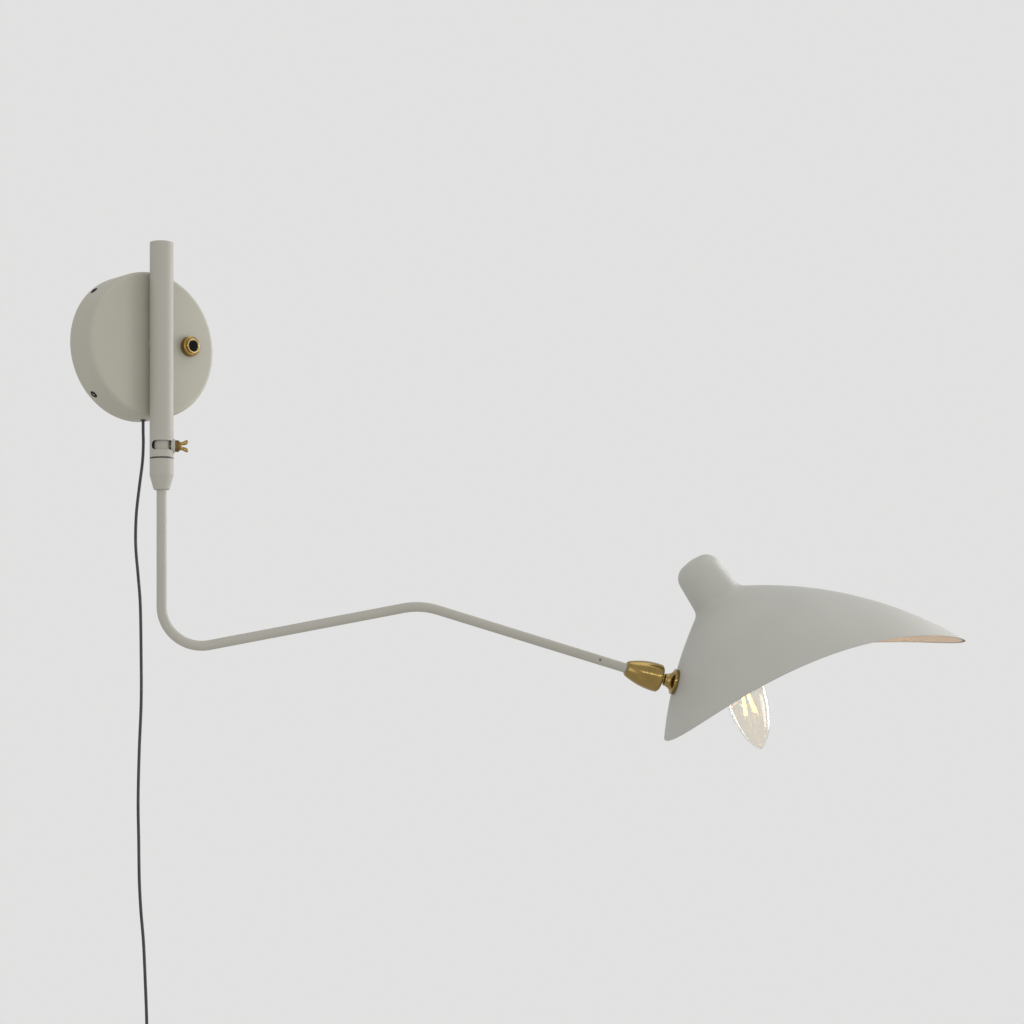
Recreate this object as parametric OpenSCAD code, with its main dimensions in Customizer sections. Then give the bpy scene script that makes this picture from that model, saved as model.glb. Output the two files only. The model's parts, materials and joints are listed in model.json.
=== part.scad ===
// Wall lamp with a swinging arm and a shade on a ball joint.
// Millimetres. The origin is the centre of the wall plate's back face, the wall is the plane y = 0,
// the lamp stands out towards -Y, and +Z is up.

/* [Canopy] */
// Outside diameter of the canopy
canopy_d = 120; // [110:1:140]
// How far the canopy stands off the wall
canopy_depth = 30; // [28:1:36]
// Thickness of the canopy's metal
canopy_wall = 1.5; // [1:0.1:2]
// Radius of the canopy's front edge
canopy_edge = 4; // [3:0.5:6]
// Distance between the two wall screws
wall_hole_spacing = 80; // [70:1:84]
// Diameter of the wall screw holes
wall_hole_d = 5; // [4:0.5:6]

/* [Post] */
// Outside diameter of the upright tube
post_d = 19; // [18:0.5:22]
// Distance from the wall to the tube's axis
post_standoff = 40.5; // [40:0.5:44]
// Height of the tube's top above the canopy's centre
post_top = 82.2; // [70:0.1:110]
// Height of the swivel gap, where the arm starts to turn
swivel_z = -94.4; // [-110:0.1:-92]
// Height of the stop slot's middle above the swivel gap
slot_above_swivel = 10.1; // [9:0.1:11]

/* [Arm] */
// Swing of the arm away from straight out, to the right
arm_swing = 58; // [-68:1:68]
// Outside diameter of the arm tube
arm_d = 8; // [7:0.5:9]
// Inside radius of the long rise, measured at the tube's axis
lower_bend_r = 32; // [28:1:40]
// Slope of the rise, in degrees
rise_angle = 10.3; // [5:0.1:15]
// Slope of the drop towards the shade, in degrees
drop_angle = 17.3; // [10:0.1:25]
// Distance from the post's axis to the knee
knee_reach = 209.9; // [150:0.1:250]
// Height of the knee
knee_z = -213.3; // [-240:0.1:-200]
// Bend radius at the knee
knee_bend_r = 60; // [40:1:90]

/* [Ball joint] */
// Distance from the post's axis to the ball's centre
ball_reach = 408; // [380:1:430]
// Diameter of the ball
ball_d = 15; // [14:0.5:16]
// Turn of the whole lamp head about the ball, away from the wall
head_turn = 6; // [0:1:12]
// Slope of the stud that carries the shade, in degrees below level
stud_angle = 14.3; // [0:0.1:30]
// Distance from the ball's centre to the shade's wall
stud_reach = 18.65; // [18:0.05:24]

/* [Shade] */
// Angle of the shade's turning axis, in degrees below level
shade_axis_angle = 56; // [45:0.1:65]
// Radius of the neck at its foot
neck_r = 22.9; // [20:0.1:26]
// Height of the neck
neck_h = 41.8; // [36:0.1:46]
// Thickness of the shade's metal
shade_wall = 1.2; // [1:0.1:1.6]

/* [Bulb] */
// Diameter of the candle bulb
bulb_d = 35; // [32:1:37]
// Slope of the bulb's axis, in degrees below level
bulb_angle = 75; // [65:1:85]

/* [Cord] */
// Diameter of the mains cord
cord_d = 2.5; // [2:0.1:3]
// Diameter of the coil at the middle of its two layers
coil_d = 27; // [26:0.5:30]
// Number of turns in the coil's inner layer
coil_turns = 8; // [5:1:10]

/* [Hidden] */
$fn = 64;

canopy_r = canopy_d / 2;
plate_t = 2;
side_screw_depth = 7.5;
side_screw_angles = [45, 135, 225, 315];
switch_pos = [34, 2];
bush_r = 6;
button_r = 4.6;
pin_height = 30;
cord_exit_depth = 14.5;
cord_hole_r = 3;

post_r = post_d / 2;
post_bore_r = post_r - 1.5;
post_back = post_standoff - post_r;
swivel_gap = 1.2;
post_bottom = swivel_z + swivel_gap / 2;
collar_top = swivel_z - swivel_gap / 2;
collar_taper_z = collar_top - 13.1;
collar_bottom = collar_top - 24.8;
collar_bottom_r = 6.25;
slot_z = swivel_z + slot_above_swivel;
slot_h = 7.5;
slot_end_angle = 67;
spigot_r = 6.8;
spigot_top = slot_z + 22;
running_gap = 0.04;
upper_bush_z = slot_z + 9;
clip_z = upper_bush_z + 8.1;

arm_r = arm_d / 2;
arm_bore_r = arm_r - 1;
tube_top = collar_bottom + 9;
rise_foot_z = knee_z - knee_reach * tan(rise_angle);
lower_bend_z = rise_foot_z + lower_bend_r * tan((90 + rise_angle) / 2);
knee_turn = rise_angle + drop_angle;
hair = 0.01;
knee_tangent = knee_bend_r * tan(knee_turn / 2);
knee_start = [knee_reach - knee_tangent * cos(rise_angle), knee_z - knee_tangent * sin(rise_angle)];
knee_end = [knee_reach + knee_tangent * cos(drop_angle), knee_z - knee_tangent * sin(drop_angle)];
rise_start = [
    lower_bend_r + lower_bend_r * sin(rise_angle),
    lower_bend_z - lower_bend_r * cos(rise_angle)
];
rise_length = norm(knee_start - rise_start);
ball_z = knee_z - (ball_reach - knee_reach) * tan(drop_angle);

ball_r = ball_d / 2;
barrel_back = -26;
barrel_front = 4.9;
barrel_back_r = 6.5;
barrel_front_r = 11.8;
chamber_r = 7.85;
chamber_back = -13;
ring_back = -2;
ring_r = 9.4;
tube_screw_r = 1;
drop_length = norm([ball_reach, ball_z] - knee_end) + barrel_back + 12;
stud_r = 3.2;
stud_bore_r = 1.9;
washer_back = stud_reach + 1.5;
foot_back = washer_back + 0.8;
strip_t = 1.5;
stud_end = foot_back + 6;

nipple_top = [441.5, -177.4];
rim_cut_centre = [626.5, -552.3];
rim_cut_r = 306.2;
neck_taper = 4.5;
neck_corner_r = 13;
neck_dome = 0.8;
neck_fillet_r = 9.3;
flare_angle = 56.7;
flare_straight = 10;
flare_r = 324;
flare_turn = 32;
brim_r = 90;
brim_turn = 25;

bulb_tip = [497.7, -336.8];
bulb_length = 98;
bulb_cap_length = 24;
holder_mouth = 22;
holder_back = -21;
holder_r = 13;

// ---- Frames ----

// Draws +Z outward from the wall, with +Y up.
module from_wall() {
    rotate([90, 0, 0]) children();
}

module at_post() {
    translate([0, -post_standoff, 0]) children();
}

// The arm's own frame: +X reaches out along the arm, +Z is up.
module in_arm() {
    at_post() rotate([0, 0, arm_swing - 90]) children();
}

// The lamp head's own frame: the arm's frame turned about the upright line through the ball.
module in_head() {
    in_arm() translate([ball_reach, 0, 0]) rotate([0, 0, -head_turn]) translate([-ball_reach, 0, 0])
        children();
}

// Puts the origin at the ball's centre and +Z along a line that slopes down by angle.
module at_ball(angle) {
    translate([ball_reach, 0, ball_z]) rotate([0, 90 + angle, 0]) children();
}

module in_barrel() {
    in_arm() at_ball(drop_angle) children();
}

module on_stud() {
    in_head() at_ball(stud_angle) children();
}

// Puts the origin at the neck's top and +Z along the shade's turning axis.
module in_shade() {
    in_head() translate([nipple_top[0], 0, nipple_top[1]]) rotate([0, 90 + shade_axis_angle, 0])
        children();
}

// Puts the origin at the end of the bulb's cap and +Z towards its tip.
module in_bulb() {
    in_head()
        translate([bulb_tip[0], 0, bulb_tip[1]])
            rotate([0, 90 + bulb_angle, 0])
                translate([0, 0, -bulb_length]) children();
}

// ---- Shared shapes ----

module tube(outer_r, inner_r, from, to) {
    translate([0, 0, from]) difference() {
        cylinder(r = outer_r, h = to - from);
        translate([0, 0, -1]) cylinder(r = inner_r, h = to - from + 2);
    }
}

module rod(r, from, to) {
    translate([0, 0, from]) cylinder(r = r, h = to - from);
}

// A bent rod: its centre line is an arc of bend_r from angle start over turn degrees.
module bend(r, bend_r, start, turn) {
    rotate([90, 0, 0]) rotate([0, 0, start])
        rotate_extrude(angle = turn, $fn = 96) translate([bend_r, 0]) circle(r = r);
}

module hexagon(across_flats, height) {
    cylinder(r = across_flats / 2 / cos(30), h = height, $fn = 6);
}

// Point and direction on an arc that starts at p with slope a0 and ends with slope a1. Slopes are
// measured from the first axis, and each point is [along, out, slope].
function arc(p, a0, a1, r, steps) =
    let (k = a1 > a0 ? 1 : -1)
    [for (i = [0:steps]) let (a = a0 + (a1 - a0) * i / steps)
        [p[0] + k * r * (sin(a) - sin(a0)), p[1] + k * r * (cos(a0) - cos(a)), a]];

function ahead(p, distance) = [p[0] + distance * cos(p[2]), p[1] + distance * sin(p[2]), p[2]];
function last(list) = list[len(list) - 1];
function backwards(list) = [for (i = [len(list) - 1:-1:0]) list[i]];

// Catmull-Rom curve through points, with steps pieces between two points.
function spline_at(p0, p1, p2, p3, t) =
    0.5 * (2 * p1 + (p2 - p0) * t + (2 * p0 - 5 * p1 + 4 * p2 - p3) * t * t
        + (3 * p1 - p0 - 3 * p2 + p3) * t * t * t);
function smooth(points, steps) =
    let (n = len(points))
    concat([for (i = [0:n - 2]) for (j = [0:steps - 1])
        spline_at(points[max(i - 1, 0)], points[i], points[i + 1], points[min(i + 2, n - 1)], j / steps)],
        [last(points)]);

function unit(v) = v / norm(v);
function heading(line, i) =
    unit(line[min(i + 1, len(line) - 1)] - line[max(i - 1, 0)]);
// One ring of sides points around line[i], set out from a fixed side direction.
function ring_at(line, i, r, sides, side) =
    let (d = heading(line, i), a = unit(cross(d, side)), b = cross(d, a))
    [for (k = [0:sides - 1]) line[i] + r * (cos(360 * k / sides) * a + sin(360 * k / sides) * b)];

// A round cord swept along line as one closed solid.
module swept(line, r, side, sides = 8) {
    n = len(line);
    points = [for (i = [0:n - 1]) each ring_at(line, i, r, sides, side)];
    polyhedron(points, concat(
        [[for (k = [0:sides - 1]) k]],
        [for (i = [0:n - 2]) for (k = [0:sides - 1])
            let (a = i * sides + k, b = i * sides + (k + 1) % sides)
            each [[a, a + sides, b + sides], [a, b + sides, b]]],
        [[for (k = [sides - 1:-1:0]) (n - 1) * sides + k]]));
}

// ---- Canopy ----

// Half section of a cup with a rounded front edge.
module cup_section(r, depth, edge) {
    square([r - edge, depth]);
    square([r, depth - edge]);
    translate([r - edge, depth - edge]) intersection() {
        circle(r = edge);
        square(edge);
    }
}

module side_hole(angle, r, from, to) {
    rotate([0, 0, angle]) translate([0, 0, side_screw_depth]) rotate([0, 90, 0]) rod(r, from, to);
}

module wall_bracket() {
    tab_w = 14;
    tab_depth = 13;
    tab_out = canopy_r - canopy_wall;
    color("gainsboro") from_wall() difference() {
        union() {
            rod(tab_out - 3, 0, plate_t);
            for (a = side_screw_angles) rotate([0, 0, a]) {
                translate([tab_out - 10, -tab_w / 2, 0]) cube([10, tab_w, plate_t]);
                translate([tab_out - plate_t, -tab_w / 2, 0]) cube([plate_t, tab_w, tab_depth]);
            }
        }
        for (x = [-1, 1]) translate([x * wall_hole_spacing / 2, 0, 0]) rod(wall_hole_d / 2, -1, plate_t + 1);
        rod(12, -1, plate_t + 1);
        for (a = side_screw_angles) side_hole(a, 2, tab_out - 5, tab_out + 1);
        difference() {
            rod(tab_out + 10, -1, tab_depth + 1);
            rod(tab_out - 0.1, -2, tab_depth + 2);
        }
    }
}

module canopy() {
    inner_r = canopy_r - canopy_wall;
    inner_depth = canopy_depth - canopy_wall;
    color("silver") from_wall() difference() {
        rotate_extrude($fn = 128) difference() {
            cup_section(canopy_r, canopy_depth, canopy_edge);
            cup_section(inner_r, inner_depth, canopy_edge - canopy_wall);
        }
        translate([switch_pos[0], switch_pos[1], 0]) rod(bush_r + 0.1, inner_depth - 1, canopy_depth + 1);
        rod(4.1, inner_depth - 1, canopy_depth + 1);
        for (y = [-pin_height, pin_height]) translate([0, y, 0]) rod(2.1, inner_depth - 1, canopy_depth + 1);
        for (a = side_screw_angles) side_hole(a, 2.1, inner_r - 3, canopy_r + 1);
        translate([0, 0, cord_exit_depth]) rotate([90, 0, 0]) rod(cord_hole_r, inner_r - 3, canopy_r + 1);
    }
}

module canopy_screws() {
    head_out = canopy_r + 0.6;
    color("dimgray") from_wall() for (a = side_screw_angles) rotate([0, 0, a])
        translate([0, 0, side_screw_depth]) rotate([0, 90, 0]) difference() {
            union() {
                rod(2, canopy_r - 9, head_out - 1);
                translate([0, 0, canopy_r]) cylinder(r1 = 3.3, r2 = 2.6, h = 0.6);
            }
            translate([-3, -0.4, canopy_r + 0.1]) cube([6, 0.8, 2]);
        }
}

module cord_bush() {
    color("dimgray") from_wall() translate([0, 0, cord_exit_depth]) rotate([90, 0, 0]) {
        tube(cord_hole_r, cord_d / 2, canopy_r - 14, canopy_r - 0.5);
        tube(cord_hole_r + 1.2, cord_hole_r, canopy_r - canopy_wall - 2.2, canopy_r - canopy_wall - 0.2);
        translate([0, 0, canopy_r - 0.5]) difference() {
            cylinder(r1 = cord_hole_r - 0.4, r2 = 2, h = 1.5);
            translate([0, 0, -1]) cylinder(r = cord_d / 2, h = 4);
        }
    }
}

module cord_clamp() {
    color("gainsboro") from_wall() difference() {
        translate([-9, 14 - canopy_r, plate_t]) cube([18, 8, cord_exit_depth + 3.5 - plate_t]);
        translate([-10, 13 - canopy_r, plate_t + 2]) cube([6.2, 10, cord_exit_depth]);
        translate([3.8, 13 - canopy_r, plate_t + 2]) cube([6.2, 10, cord_exit_depth]);
        translate([0, 0, cord_exit_depth]) rotate([90, 0, 0]) rod(cord_d / 2, 0, canopy_r);
    }
}

block_pos = [-32, -14];
block_size = [22, 12, 10];
block_lift = 7;

module terminal_block() {
    color("ivory") from_wall() translate([block_pos[0], block_pos[1], plate_t]) difference() {
        translate([0, 0, block_lift / 2]) union() {
            translate([-block_size[0] / 2, -block_size[1] / 2, 0]) cube(block_size);
            translate([0, 0, -block_lift / 2]) rod(3, 0, block_lift / 2);
        }
        for (x = [-5.5, 5.5]) {
            for (y = [-3, 3]) translate([x, y, block_lift]) rod(1.8, 0, 12);
            translate([x, 0, block_lift]) rotate([90, 0, 0]) rod(1.6, -7, 7);
        }
    }
}

module terminal_screws() {
    color("goldenrod") from_wall() translate([block_pos[0], block_pos[1], plate_t + block_lift])
        for (x = [-5.5, 5.5]) for (y = [-3, 3]) translate([x, y, 2]) difference() {
            rod(1.75, 0, 2.5);
            translate([-2, -0.3, 1.7]) cube([4, 0.6, 2]);
        }
}

// Leads inside the canopy: from the cord to the block, on to the switch, and to the hollow nipple.
module supply_leads() {
    lead_r = 1;
    sheath_end = -37;
    depth = block_lift + plate_t;
    left = block_pos[0] - 5.5;
    right = block_pos[0] + 5.5;
    below = block_pos[1] - 6;
    above = block_pos[1] + 6;
    leads = [
        [
            [0, sheath_end, cord_exit_depth + 1], [-4, -33, 14], [-16, -31, 11], [right, -27, depth],
            [right, below, depth]
        ],
        [
            [0, sheath_end, cord_exit_depth - 1], [-8, -35, 11], [-26, -35, 8], [left, -30, depth],
            [left, below, depth]
        ],
        [
            [right, above, depth], [right, 8, 11], [-10, 14, 15], [12, 12, 12], [30, 6, 9],
            [switch_pos[0], switch_pos[1], 12.9]
        ],
        [
            [left, above, depth], [left, 10, 10], [-26, 22, 12], [-6, 18, 15], [0.8, 6, 15], [0.8, 1, 18.2]
        ]
    ];
    color("dimgray") from_wall() {
        for (line = leads) swept(smooth(line, 4), lead_r, [0, 0.3, 1]);
        translate([0, 0, cord_exit_depth]) rotate([90, 0, 0]) rod(cord_d / 2, -sheath_end, canopy_r + 1.5);
    }
}

// ---- Switch ----

module switch_body() {
    color("goldenrod") from_wall() translate([switch_pos[0], switch_pos[1], 0]) difference() {
        union() {
            rod(8.5, 14, canopy_depth - canopy_wall);
            rod(bush_r, 14, canopy_depth + 7);
        }
        rod(button_r + 0.08, canopy_depth - 3, canopy_depth + 8);
    }
}

module switch_nut() {
    color("goldenrod") from_wall() translate([switch_pos[0], switch_pos[1], canopy_depth]) difference() {
        union() {
            cylinder(r = 8.25, h = 4.8);
            translate([0, 0, 4.8]) cylinder(r1 = 8.25, r2 = 7.6, h = 0.7);
        }
        translate([0, 0, -1]) cylinder(r = bush_r, h = 8);
        for (a = [0:15:345]) rotate([0, 0, a]) translate([8.45, 0, -1]) cylinder(r = 0.45, h = 5);
    }
}

module switch_button() {
    color("#111111") from_wall() translate([switch_pos[0], switch_pos[1], canopy_depth]) {
        rod(button_r, 0, 6.8);
        translate([0, 0, 6.8]) cylinder(r1 = button_r, r2 = button_r - 0.6, h = 0.6);
    }
}

// ---- Post ----

module to_wall(height) {
    translate([0, 0, height]) rotate([-90, 0, 0]) children();
}

module post_tube() {
    color("silver") at_post() difference() {
        tube(post_r, post_bore_r, post_bottom, post_top);
        rotate([0, 0, -90 - slot_end_angle]) rotate_extrude(angle = 2 * slot_end_angle)
            translate([post_bore_r - 1, slot_z - slot_h / 2]) square([4, slot_h]);
        for (a = [-slot_end_angle, slot_end_angle])
            translate([0, 0, slot_z]) rotate([0, 0, a - 90]) rotate([0, 90, 0]) rod(slot_h / 2, 3, post_r + 2);
        to_wall(0) rod(4, 0, post_r + 1);
        for (z = [-pin_height, pin_height]) to_wall(z) rod(2, 0, post_r + 1);
    }
}

module post_cap() {
    color("silver") at_post() difference() {
        rod(post_bore_r, post_top - 4, post_top);
        rod(post_bore_r - 1.5, post_top - 5, post_top - 1.5);
    }
}

module post_spacers() {
    spots = [[0, 5.2, 4], [-pin_height, 3.6, 2.05], [pin_height, 3.6, 2.05]];
    color("silver") difference() {
        at_post() for (s = spots) to_wall(s[0])
            tube(s[1], s[2], post_r - 2, post_standoff - canopy_depth);
        at_post() cylinder(r = post_r, h = 100, center = true);
    }
}

module post_nipple() {
    color("gainsboro") at_post() to_wall(0) tube(4, 2.6, post_bore_r - 0.5, post_standoff - 18);
}

module post_nut() {
    seat = post_standoff - canopy_depth + canopy_wall;
    color("gainsboro") at_post() to_wall(0) {
        tube(8, 4, seat, seat + 1);
        difference() {
            translate([0, 0, seat + 1]) hexagon(13, 4);
            rod(4, seat, seat + 6);
        }
    }
}

module post_screws() {
    seat = post_standoff - canopy_depth + canopy_wall;
    color("dimgray") at_post() for (z = [-pin_height, pin_height]) to_wall(z) difference() {
        union() {
            rod(2, post_bore_r - 1, seat);
            rod(3.6, seat, seat + 2.4);
        }
        translate([0, 0, seat + 1.2]) hexagon(2.5, 3);
    }
}

module upper_bush() {
    color("ivory") at_post() tube(post_bore_r, spigot_r + running_gap, upper_bush_z, upper_bush_z + 8);
}

module lower_bush() {
    color("ivory") at_post()
        tube(post_bore_r, spigot_r + running_gap, post_bottom, slot_z - slot_h / 2 - 0.4);
}

module thrust_washer() {
    color("#333333") at_post()
        tube(post_r - 0.05, spigot_r + running_gap, collar_top + 0.02, post_bottom);
}

// ---- Arm ----

module arm_collar() {
    color("silver") in_arm() rotate_extrude() difference() {
        polygon([
            [0, collar_top], [post_r, collar_top], [post_r, collar_taper_z],
            [collar_bottom_r, collar_bottom], [0, collar_bottom]
        ]);
        translate([0, tube_top + 2]) square([spigot_r, 100]);
        translate([0, collar_bottom - 1]) square([arm_r, 100]);
    }
}

module arm_spigot() {
    color("silver") in_arm() difference() {
        tube(spigot_r, 3.5, tube_top + 2, spigot_top);
        translate([0, 0, clip_z]) tube(spigot_r + 1, spigot_r - 0.6, 0, 1);
        translate([0, 0, slot_z]) rotate([0, 90, 0]) rod(screw_r + 0.05, 0, 10);
    }
}

module retaining_clip() {
    color("dimgray") in_arm() translate([0, 0, clip_z]) difference() {
        tube(spigot_r + 1.2, spigot_r - 0.6, 0, 1);
        translate([-10, -2, -1]) cube([8, 4, 3]);
    }
}

// Solid rod along the arm's centre line, in five stretches that stop a hair short of each other, so
// that each stays a true cylinder or torus. The two ends run on by extra.
module arm_path(r, top, extra) {
    rod(r, lower_bend_z + hair, top + extra);
    translate([lower_bend_r, 0, lower_bend_z]) bend(r, lower_bend_r, 180, 90 + rise_angle);
    translate([rise_start[0], 0, rise_start[1]]) rotate([0, 90 - rise_angle, 0])
        rod(r, hair, rise_length - hair);
    knee_centre = knee_start + knee_bend_r * [sin(rise_angle), -cos(rise_angle)];
    translate([knee_centre[0], 0, knee_centre[1]]) bend(r, knee_bend_r, 90 - drop_angle, knee_turn);
    translate([knee_end[0], 0, knee_end[1]]) rotate([0, 90 + drop_angle, 0])
        rod(r, hair, drop_length + extra);
}

// Draws +Z out of the near side of the arm tube, where its grub screw sits. Used inside in_barrel().
module at_tube_screw() {
    translate([0, 0, barrel_back - 24]) rotate([90, 0, 0]) children();
}

module arm_tube() {
    color("silver") difference() {
        in_arm() arm_path(arm_r, tube_top, 0);
        in_arm() arm_path(arm_bore_r, tube_top, 1);
        in_barrel() at_tube_screw() rod(tube_screw_r, arm_bore_r - 1, arm_r + 1);
    }
}

// Two-core lead threaded through the spigot and the arm.
module arm_lead() {
    color("dimgray") in_arm() arm_path(1.5, spigot_top + 12, 0);
}

// ---- Lock screw ----

// Draws +Z outward along the lock screw.
module on_screw() {
    in_arm() translate([0, 0, slot_z]) rotate([0, 90, 0]) children();
}

screw_r = 2;
saddle_out = post_r + 1;
collar_out = saddle_out + 3.4;

module lock_saddle() {
    color("silver") difference() {
        on_screw() tube(5.8, screw_r + 0.1, 6, saddle_out);
        at_post() translate([0, 0, slot_z]) cylinder(r = post_r + 0.06, h = 20, center = true);
    }
}

module lock_collar() {
    color("goldenrod") on_screw() difference() {
        union() {
            rod(4.7, saddle_out + 0.02, collar_out - 0.6);
            translate([0, 0, collar_out - 0.6]) cylinder(r1 = 4.7, r2 = 4.1, h = 0.6);
        }
        rod(screw_r + 0.05, 0, 30);
    }
}

module wing_screw() {
    hub_h = 2;
    wing_t = 2.4;
    color("goldenrod") on_screw() {
        rod(screw_r - 0.02, 4.6, collar_out + 0.02);
        rod(3.6, collar_out + 0.02, collar_out + hub_h);
        for (side = [-1, 1]) translate([side * 1.8, 0, collar_out + hub_h]) rotate([90, 0, 0]) hull() {
            cylinder(r = 1.3, h = wing_t, center = true, $fn = 32);
            translate([side * 1.2, 3.4]) cylinder(r = 1.9, h = wing_t, center = true, $fn = 32);
        }
    }
}

// ---- Ball joint ----

module swivel_barrel() {
    steps = 10;
    bulge = 1.7;
    side = [for (i = [0:steps]) let (t = i / steps)
        [barrel_back_r + (barrel_front_r - barrel_back_r) * t + bulge * 4 * t * (1 - t),
         barrel_back + 1.2 + (barrel_front - barrel_back - 2.4) * t]];
    color("goldenrod") in_barrel() difference() {
        rotate_extrude() polygon(concat(
            [[0, barrel_back], [barrel_back_r - 1, barrel_back]], side,
            [[barrel_front_r - 1, barrel_front], [0, barrel_front]]));
        rod(arm_r, barrel_back - 1, chamber_back + 1);
        rod(chamber_r, chamber_back, ring_back);
        rod(ring_r, ring_back, barrel_front + 1);
        translate([0, 0, barrel_back + 7]) rotate([0, -90, 0]) rod(1.5, 0, 12);
    }
}

// Two grub screws: one under the barrel, and one in the near side of the arm tube.
module grub_screws() {
    color("dimgray") in_barrel() {
        translate([0, 0, barrel_back + 7]) rotate([0, -90, 0]) difference() {
            rod(1.5, arm_r + 0.02, 7.4);
            translate([0, 0, 6]) hexagon(1.5, 3);
        }
        at_tube_screw() difference() {
            rod(tube_screw_r, arm_bore_r + 0.1, arm_r + 0.05);
            translate([0, 0, arm_r - 0.4]) hexagon(0.9, 3);
        }
    }
}

module seat_spring() {
    color("gainsboro") in_barrel() tube(chamber_r - 0.6, 3, chamber_back, chamber_back + 1.6);
}

module socket_ring() {
    color("goldenrod") in_barrel() difference() {
        rod(ring_r, ring_back, barrel_front);
        sphere(r = ball_r + 0.06, $fn = 96);
        translate([0, 0, ring_back]) cylinder(r1 = ball_r + 0.06, r2 = ball_r, h = 1.6);
        translate([0, 0, barrel_front - 2]) cylinder(r1 = 4.4, r2 = 7.4, h = 2.1);
    }
}

module ball_seat() {
    color("ivory") in_barrel() difference() {
        rod(chamber_r - 0.05, chamber_back + 1.65, ring_back - 0.6);
        sphere(r = ball_r + 0.04, $fn = 96);
        rod(3.4, chamber_back, 0);
    }
}

module ball() {
    color("goldenrod") on_stud() difference() {
        sphere(r = ball_r, $fn = 96);
        rod(stud_r + 0.04, -ball_r - 1, ball_r + 1);
        rod(4.5, -ball_r - 1, -4.5);
    }
}

module stud() {
    color("goldenrod") on_stud() difference() {
        union() {
            rod(stud_r, -5.5, stud_end);
            rod(4.3, -6, -4.54);
        }
        rod(stud_bore_r, -ball_r, stud_end + 1);
    }
}

module shade_flange() {
    neck_start = ball_r + 0.4;
    neck_edge = 0.8;
    flange_neck_r = 5.2;
    disc_back = stud_reach - 3.2;
    disc_r = 10.8;
    sweep = 66;
    flare_start = neck_start + neck_edge;
    flare = arc([flare_start, flange_neck_r, 0], 0, sweep, (disc_back - flare_start) / sin(sweep), 8);
    color("goldenrod") on_stud() rotate_extrude() polygon(concat(
        [[stud_r, neck_start], [flange_neck_r - neck_edge, neck_start]],
        [for (p = flare) [p[1], p[0]]],
        [[disc_r - 0.5, disc_back], [disc_r, disc_back + 0.5], [disc_r, stud_reach - 0.4],
         [disc_r - 0.4, stud_reach], [stud_r, stud_reach]]));
}

// ---- Shade ----

// The shade's outside in half section, from the neck's top to beyond the rim: [along, out, slope].
function shade_outline() =
    let (
        top_r = neck_r - neck_h * tan(neck_taper),
        corner = arc([neck_dome, top_r - neck_corner_r], 90, neck_taper, neck_corner_r, 7),
        side_end = ahead(last(corner), neck_h - last(corner)[0] - 0.6 * neck_fillet_r),
        fillet = arc(side_end, neck_taper, flare_angle, neck_fillet_r, 6),
        flare_start = ahead(last(fillet), flare_straight),
        flare = arc(flare_start, flare_angle, flare_angle - flare_turn, flare_r, 12),
        brim = arc(last(flare), flare_angle - flare_turn, flare_angle - flare_turn - brim_turn, brim_r, 8)
    )
    concat([[0, 0, 90]], corner, fillet, flare, [for (i = [1:8]) brim[i]]);

module shade() {
    outside = [for (p = shade_outline()) [p[1], p[0]]];
    inside = [for (p = shade_outline())
        [max(p[1] - shade_wall * cos(p[2]), 0), p[0] + shade_wall * sin(p[2])]];
    color("silver") difference() {
        in_shade() rotate_extrude($fn = 128) polygon(concat(outside, backwards(inside)));
        in_head() translate([rim_cut_centre[0], 0, rim_cut_centre[1]]) rotate([90, 0, 0])
            cylinder(r = rim_cut_r, h = 400, center = true, $fn = 256);
        on_stud() rod(stud_r + 0.1, stud_reach - 5, stud_reach + 6);
    }
}

module stud_washer() {
    color("gainsboro") on_stud() tube(7, stud_r, washer_back, foot_back);
}

module stud_nut() {
    start = foot_back + strip_t;
    color("goldenrod") on_stud() difference() {
        translate([0, 0, start]) hexagon(10, 3.2);
        rod(stud_r, start - 1, start + 5);
    }
}

// ---- Lamp holder and bulb ----

// Side direction at point i of a flat line, made longer at a bend so that a strip keeps its thickness.
function mitre(line, i) =
    let (
        before = i > 0 ? unit(line[i] - line[i - 1]) : unit(line[1] - line[0]),
        after = i < len(line) - 1 ? unit(line[i + 1] - line[i]) : before,
        way = unit(before + after)
    )
    [-way[1], way[0]] / (way * before);

function strip_outline(line, t) = concat(
    [for (i = [0:len(line) - 1]) line[i] + t / 2 * mitre(line, i)],
    [for (i = [len(line) - 1:-1:0]) line[i] - t / 2 * mitre(line, i)]);

module holder_bracket() {
    strip_w = 14;
    stud_way = [cos(stud_angle), -sin(stud_angle)];
    foot_way = [sin(stud_angle), cos(stud_angle)];
    bulb_way = [cos(bulb_angle), -sin(bulb_angle)];
    plate_way = [sin(bulb_angle), cos(bulb_angle)];
    foot = [ball_reach, ball_z] + (foot_back + strip_t / 2) * stud_way;
    plate = bulb_tip + (holder_back - strip_t / 2 - bulb_length) * bulb_way;
    line = [foot - 7 * foot_way, foot + 12 * foot_way, plate - 17 * plate_way, plate + 8 * plate_way];
    color("gainsboro") difference() {
        in_head() rotate([90, 0, 0]) linear_extrude(height = strip_w, center = true)
            polygon(strip_outline(line, strip_t));
        on_stud() rod(stud_r, foot_back - 1, foot_back + 3);
        in_bulb() rod(5, holder_back - 4, holder_back + 1);
    }
}

module holder_nipple() {
    color("gainsboro") in_bulb() {
        tube(5, 3.4, holder_back - 6, holder_back + 5);
        difference() {
            translate([0, 0, holder_back - 4.5]) hexagon(14, 3);
            rod(5, holder_back - 8, holder_back);
        }
    }
}

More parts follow.
